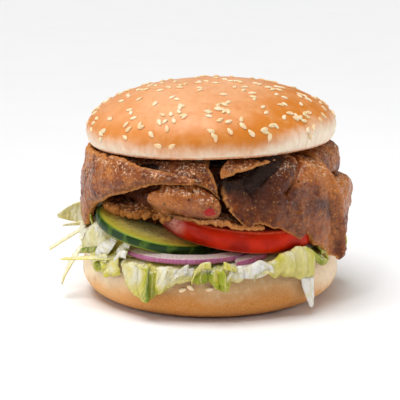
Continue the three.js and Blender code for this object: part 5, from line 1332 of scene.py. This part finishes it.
        [[-137, 50.6, 25], [-136.6, 51, 23.8], [-136, 50.8, 22.6]],
        [[-132.6, 51.4, 26], [-132.6, 51.8, 24.6], [-132.6, 51.6, 23.4]],
        [[-128.6, 51, 27.2], [-128.4, 51.2, 26], [-128.6, 51, 25]],
    ]},
    "thin strip to the left": {"fine": (69, 12), "green": 0.15, "ruffle": 0.25, "sections": [
        [[-132, 46, 23.2], [-132, 48, 23], [-132, 50, 22.8]],
        [[-139, 51.4, 22.6], [-139, 52.8, 22], [-139, 54, 21.4]],
        [[-147, 53.4, 21.4], [-147, 54.8, 20.8], [-147, 55.8, 20.2]],
        [[-155, 56.6, 19.8], [-155, 57.8, 19.3], [-155, 58.8, 18.8]],
        [[-163.3, 61, 17.6], [-163.3, 62, 17.3], [-163.3, 63, 17]],
    ]},
    "tongue of leaf at the far left": {"fine": (50, 32), "green": -0.1, "ruffle": 0.7, "sections": [
        [[172, 44, 37], [171, 44.6, 33], [170, 45, 28.4], [170, 45, 24.6]],
        [[172, 52, 36], [171, 53, 32], [170.4, 53.4, 28.4], [170.4, 53, 25]],
        [[171.6, 58.6, 33.6], [171, 59.4, 31], [170.6, 59.6, 28.4], [170.6, 59, 26.4]],
        [[171, 64.6, 29.2], [171, 65, 28.8], [170.8, 65, 28.2], [170.8, 64.6, 27.8]],
    ]},
    "straight strip at the far left": {"fine": (50, 12), "green": -0.1, "ruffle": 0.1, "sections": [
        [[-176, 46, 31.6], [-175, 46, 30.8], [-174, 46, 30]],
        [[-176.6, 66, 18.8], [-176, 66, 18.2], [-175.4, 66, 17.6]],
    ]},
    "short strip at the far left": {"fine": (32, 12), "green": -0.1, "ruffle": 0.2, "sections": [
        [[178, 46, 29.4], [178, 46, 28], [178, 46, 26.8]],
        [[178.6, 61, 27], [178.4, 61, 26.4], [178.2, 61, 26]],
    ]},
    "strip hanging at the left": {"fine": (50, 15), "green": -0.1, "ruffle": 0.3, "sections": [
        [[-171, 45, 23.6], [-169, 45, 23.4], [-167, 45, 23.2]],
        [[-171, 51, 22.6], [-169, 51.4, 22], [-167, 51.6, 21.4]],
        [[-170, 56.4, 17.4], [-168, 56.8, 16], [-166.4, 56.8, 14.8]],
        [[-169, 59.8, 11.8], [-167.4, 60.2, 10.4], [-166, 60.2, 9.4]],
        [[-168, 61.6, 6.8], [-167, 62, 6], [-166.4, 61.8, 5.4]],
    ]},
    "yellow scrap by the left slice": {"fine": (25, 15), "green": 0.75, "ruffle": 0.5, "sections": [
        [[-164, 49, 38], [-162, 50, 37], [-160.6, 50.4, 36]],
        [[-163.4, 49.6, 35], [-161.4, 50.8, 34.4], [-160, 50.6, 34]],
        [[-162.6, 49, 31.4], [-161.6, 49.8, 31], [-160.6, 49.6, 30.8]],
    ]},
}

hang = {"radius": 43, "height": 23.1, "fine": 64}  # where the leaves at the back come out of the bed
backLeaves = [
    {"first": 30, "last": 52, "tips": [19, 13, 18], "reach": 53.6, "green": 0.3},
    {"first": 70, "last": 84, "tips": [19, 16, 18], "reach": 53.4, "green": 0.1},
    {"first": 96, "last": 122, "tips": [18, 12, 15, 18], "reach": 53.8, "green": 0.35},
    {"first": 138, "last": 156, "tips": [18, 15, 18], "reach": 53.4, "green": 0.2},
]

shortShreds = {"count": 8, "between": (-24, 190)}
tufts = {"count": 110, "between": (-26, 186)}
frontBits = [  # small shreds over the row of leaves: start, heading, length, width, droop, twist, green
    ((-90, 54.2, 24.6), 182, 10, 2.6, 0.75, -62, 0.25), ((-99, 53.8, 22.4), 190, 7, 3, 0.4, -68, -0.3),
    ((-105, 54.2, 20.8), 8, 6, 2.6, 0.35, 66, -0.25), ((-77, 53.8, 22.4), 196, 8, 3, 0.5, -60, -0.2),
    ((-85, 54.6, 24.4), 18, 8, 3, 0.6, 58, 0.45), ((-71, 54.2, 23), 14, 7, 3.4, 0.25, 60, -0.4),
    ((-38, 53.8, 25), 50, 7, 4.4, 0.6, 56, 0.85), ((-139, 53.6, 22), 136, 10, 3, 0.35, -60, -0.05),
    ((-127, 53.6, 25.4), 150, 7, 3.2, 0.4, -64, -0.35), ((-66, 54.6, 21.6), 200, 8, 2.4, 0.5, -60, 0.1),
]
sideStrip = {"from": (20, 46, 23), "heading": 14, "length": 14, "width": 4, "droop": 0.8, "green": 0.1}


def lettuceSheet(middle, green, amount, size, seed):  # a thin sheet, its green uneven by that amount
    shape = sheetShape(middle, np.full(green.shape, lettuce["thick"]))
    shape["marks"]["green"] = np.tile(green.ravel(), 2) + amount * swells(shape["points"], size, seed)
    return shape


def leafShape(leaf, salt):  # a leaf over its sections, ruffled and nibbled more towards its hem
    across, down = leaf["fine"]
    line = np.linspace(0, 1, across)
    u, v = sheetGrid(across, down)
    width, fall = spans(leaf["sections"], line)
    frill = np.clip(0.35 + wavering(line, width, 3.2, salt), 0, 1.2) * leaf["ruffle"] * 0.9 / fall
    left, right = (nibbled(down, fall, 3.6, salt + k, 0.4) * leaf["ruffle"] * 1.6 / width for k in (15, 16))
    right = right + leaf.get("trim", 0)
    middle = surfaceAt(leaf["sections"], left + u * (1 - left - right), v * (1 - frill)[:, None])
    crumple = 0.5 - np.abs(swells(middle * [1, 1, 0.6], 3.4, salt + 8))
    ruffle = (0.8 * swells(middle, 4.6, salt + 4) + 0.9 * crumple) * (0.3 + 0.7 * v)
    ruffle = (ruffle + 0.2 * swells(middle, 1.2, salt)) * leaf["ruffle"]
    for side, slant, reach, lift in leaf.get("folds", []):
        away = np.abs((u - side - slant * v) / reach + 0.5 * swells(middle, 6, salt + 2))
        ruffle = ruffle + lettuce["fold"] * lift * np.exp(-(away**1.5)) * np.clip(v * 3 - 0.6, 0, 1)
    middle = lifted(middle, ruffle)
    rim = np.clip(v - 0.7, 0, 1) / 0.3
    green = leaf["green"] + (0.2 * rim + 0.1 * swells(middle, 5, salt + 3)) * (leaf["green"] > -0.2)
    # Spots of painted shade and painted light, which also change the leaf's green.
    for side, drop, reach, amount in leaf.get("paintedLightAndTone", []):
        green = green + amount * bump((u - side) / reach, (v - drop) / reach / 2)
    return lettuceSheet(middle, green, 0.1, 3, salt + 12)


def backLeafShape(leaf, salt):  # a leaf that comes out of the bed and hangs to its tips
    width = abs(leaf["last"] - leaf["first"])
    across, down = max(24, int(width * 3.2)), hang["fine"]
    u, v = np.meshgrid(np.linspace(0, 1, across), np.linspace(0, 1, down) ** 1.15, indexing="ij")
    frill = nibbled(across, width, 3.4, salt, 0.5)
    v = v * (1 - 0.1 * frill)[:, None]
    bearing = leaf["first"] + (leaf["last"] - leaf["first"]) * u
    tip = curveAt(np.array(leaf["tips"], float)[:, None], u)[..., 0]
    turn = v * np.pi / 2
    radius = hang["radius"] + (leaf["reach"] - hang["radius"]) * np.sin(turn) ** 0.5
    height = tip + (hang["height"] - tip) * np.maximum(0, np.cos(turn)) ** 0.5
    radius = radius + 0.8 * np.sin(0.45 * bearing + 2 * v) * v
    middle = placed(np.stack([bearing, radius, height], -1))
    outward = np.sign((facing(middle) * middle * [1, 1, 0]).sum(-1) + 1e-9)
    ruffle = (0.5 + 0.5 * swells(middle, 4.2, salt + 4)) * v**1.5 * 1.3
    ruffle = ruffle + 0.35 * swells(middle, 2.2, salt + 8) * v
    side = np.minimum(u, 1 - u)
    green = leaf["green"] + 0.35 * np.clip(v - 0.55, 0, 1) + 0.25 * np.clip(0.12 - side, 0, 1) / 0.12
    return lettuceSheet(lifted(middle, ruffle * outward), green, 0.15, 6, salt + 12)


def stripShape(strip, salt):  # a strip that droops from its start and narrows to its tip
    start = placed(strip["from"])
    way = np.radians(strip["heading"])
    ahead, side = np.array([np.cos(way), np.sin(way), 0]), np.array([-np.sin(way), np.cos(way), 0])
    length, width = strip["length"], strip["width"]
    across, down = max(20, int(length * 2.4)), max(10, int(width * 2.4))
    u, v = sheetGrid(across, down)
    nick = 1 - 0.14 * nibbled(across, length, 2.4, salt, 0.5)[:, None]
    spread = (v - 0.5) * width * (1 - 0.5 * u * u) * nick
    lean = np.radians(strip.get("twist", 0))
    ripple = 0.5 * np.sin(5 * u + 7 * v + strip["from"][0])
    droop = strip["droop"]
    reach = length * (u - 0.4 * droop * u**3)
    rise = spread * np.sin(lean) - droop * length * u * u + ripple
    middle = start + reach[..., None] * ahead + (spread * np.cos(lean))[..., None] * side
    middle = middle + rise[..., None] * np.array([0, 0, 1])
    curl = 0.5 * swells(middle, 4.5, salt + 4) + 0.25 * swells(middle, 2, salt + 6)
    rim = np.clip(0.25 - np.minimum(v, 1 - v), 0, 1) / 0.25
    return lettuceSheet(lifted(middle, curl), strip["green"] + 0.2 * rim, 0.15, 5, salt + 12)


def bedShape():
    b = bed
    profile = [[0, b["low"]], [45, 22.8], [b["radius"], 25], [45, 29], [38, b["high"]], [0, b["high"]]]
    points, quads, tris = turnedShape(profile, b["fine"])
    bearing, reach = polar(points)
    leftSide, frontSide = np.maximum(0, -np.cos(bearing)), np.maximum(0, -np.sin(bearing))
    rise = np.where(points[:, 2] > 28, 4 * leftSide * reach / b["radius"], 0)
    out = 1 + (1.3 * lumps(points, 3, 3) + 2 * leftSide + 1.0 * crags(points, 3.2, 3, 70)) / b["radius"]
    swell = np.where(points[:, 2] > 24, 0.7 * lumps(points, 4, 9), 0)
    height = b["low"] + (points[:, 2] + rise + swell - b["low"]) * (1 - 0.88 * frontSide**2)
    points = clearOfSlices(np.stack([points[:, 0] * out, points[:, 1] * out, height], -1), -1)
    points[:, 2] = np.maximum(points[:, 2], b["least"])
    green = 0.1 + 0.5 * swells(points, 4, 71)
    # The bed is marked as partly turned from the light, so its look paints some shade on it.
    return {"points": points, "quads": quads, "tris": tris, "marks": {"green": green, "catch": 0.3}}


def shredRow():  # short shreds from the right side round the back to the left
    draws = iter(drawRow(77, 200).tolist())
    first, last = shortShreds["between"]
    count = shortShreds["count"]
    made = []
    for i in range(count):
        bearing = first + (last - first) * (i + 0.6 * next(draws)) / count
        made.append({
            "from": (bearing, 42 + 2 * next(draws), 24 + 3.5 * next(draws)),
            "heading": bearing + 50 * (next(draws) - 0.5),
            "length": 9 + 4 * next(draws),
            "width": 2.6 + 3 * next(draws),
            "droop": 0.2 + 0.25 * next(draws),
            "twist": 70 * (next(draws) - 0.5),
        })
    for shred in made:
        shred["green"] = -0.1 + 0.8 * next(draws)
    return made


def tuftRow():  # crisp bits that cover the flank of the bed where no leaf hangs: the right side and the back
    first, last = tufts["between"]
    made = []
    for i, draw in enumerate(drawRow(88, 7 * tufts["count"]).reshape(-1, 7)):
        bearing = first + (last - first) * (i + draw[0]) / tufts["count"]
        leftSide = max(0, -np.cos(np.radians(bearing)))  # the bed is wider and higher there
        height = 23.4 + (8.6 + 2 * leftSide) * draw[2]
        inward = (0.75 - 0.35 * leftSide) * max(0, height - 25)
        made.append({
            "from": (bearing, 48.6 + 2.4 * leftSide - inward + 1.4 * draw[1], height),
            "heading": bearing + 96 + 40 * (draw[3] - 0.5),
            "length": 6 + 7 * draw[4],
            "width": 2.6 + 3 * draw[5],
            "droop": 0.3 * (draw[1] - 0.4),
            "twist": 35 + 50 * draw[3],
            "green": -0.2 + 0.8 * draw[6],
        })
    return made


def lettuceLook():
    look = Board("lettuce", **{"Subsurface Weight": 0.55, "Subsurface Scale": 0.003, "Coat Roughness": 0.2,
                               "Subsurface Radius": (1.0, 0.95, 0.7), "Specular IOR Level": 0.3})
    spot = look.spot()
    chart = look.chart()
    green = look.mark("green")
    drift = look.noise(spot, 7, 3)
    fine = look.noise(spot, 0.9, 3)
    veins = look.cells(look.stretched(chart, (1, 0.3, 1)), 3.6, "DISTANCE_TO_EDGE")
    small = look.cells(look.stretched(chart, (1, 0.6, 1)), 1.3, "DISTANCE_TO_EDGE")
    vein = 1 - veins.ramp(0.0, 0.16)
    hair = 1 - small.ramp(0.0, 0.14)
    ribs = look.noise(look.stretched(chart, (1, 0.12, 1)), 1.6, 2)
    shade = green + (drift - 0.5) * 0.55 + (ribs - 0.5) * 0.3
    color = look.mix(shade.ramp(-0.3, 0.2), lettuce["white"], lettuce["cream"])
    color = look.mix(shade.ramp(0.1, 0.45), color, lettuce["pale"])
    color = look.mix(shade.ramp(0.4, 0.8), color, lettuce["green"])
    color = look.mix(shade.ramp(0.8, 1.15), color, lettuce["dark"])
    color = look.mix(vein * 0.45 + hair * 0.1, color, lettuce["cream"])
    catch = look.mark("catch")
    # Hollows turned from the light above are painted a darker green: painted shade.
    hollows = (1 - catch.ramp(-0.3, 0.55)) * shade.ramp(-1.2, 0.3)
    color = look.mix(hollows * 0.62, color, lettuce["hollow"])
    # Pale glints are painted where the leaf faces the light: painted highlights.
    paintedGlints = catch.ramp(0.7, 0.97) * fine.ramp(0.4, 0.6) * drift.ramp(0.4, 0.6)
    color = look.mix(paintedGlints * 0.6, color, lettuce["paintedGlint"])
    height = vein * 0.8 + ribs * 0.8 + hair * 0.3 + fine * 0.3 + drift * 0.5
    return look.finish(color, 0.34 + fine * 0.24, height, 0.4, 0.18)


lettuceFinish = lettuceLook()
bitKeys = ("from", "heading", "length", "width", "droop", "twist", "green")
shreds = shredRow() + tuftRow() + [dict(zip(bitKeys, bit)) for bit in frontBits]
backShapes = [backLeafShape(leaf, 200 + k) for k, leaf in enumerate(backLeaves)]
heap = {
    "lettuce_bed": [bedShape()],
    "lettuce_leaves": [leafShape(leaf, 100 + k) for k, leaf in enumerate(leaves.values())],
    "lettuce_back": [*backShapes, stripShape(sideStrip, 210)],
    "lettuce_shreds": [stripShape(strip, 300 + k) for k, strip in enumerate(shreds)],
}
for name, shapes in heap.items():
    makePiece(name, shapes, lettuceFinish, ["lettuce"])
print("lettuce made")
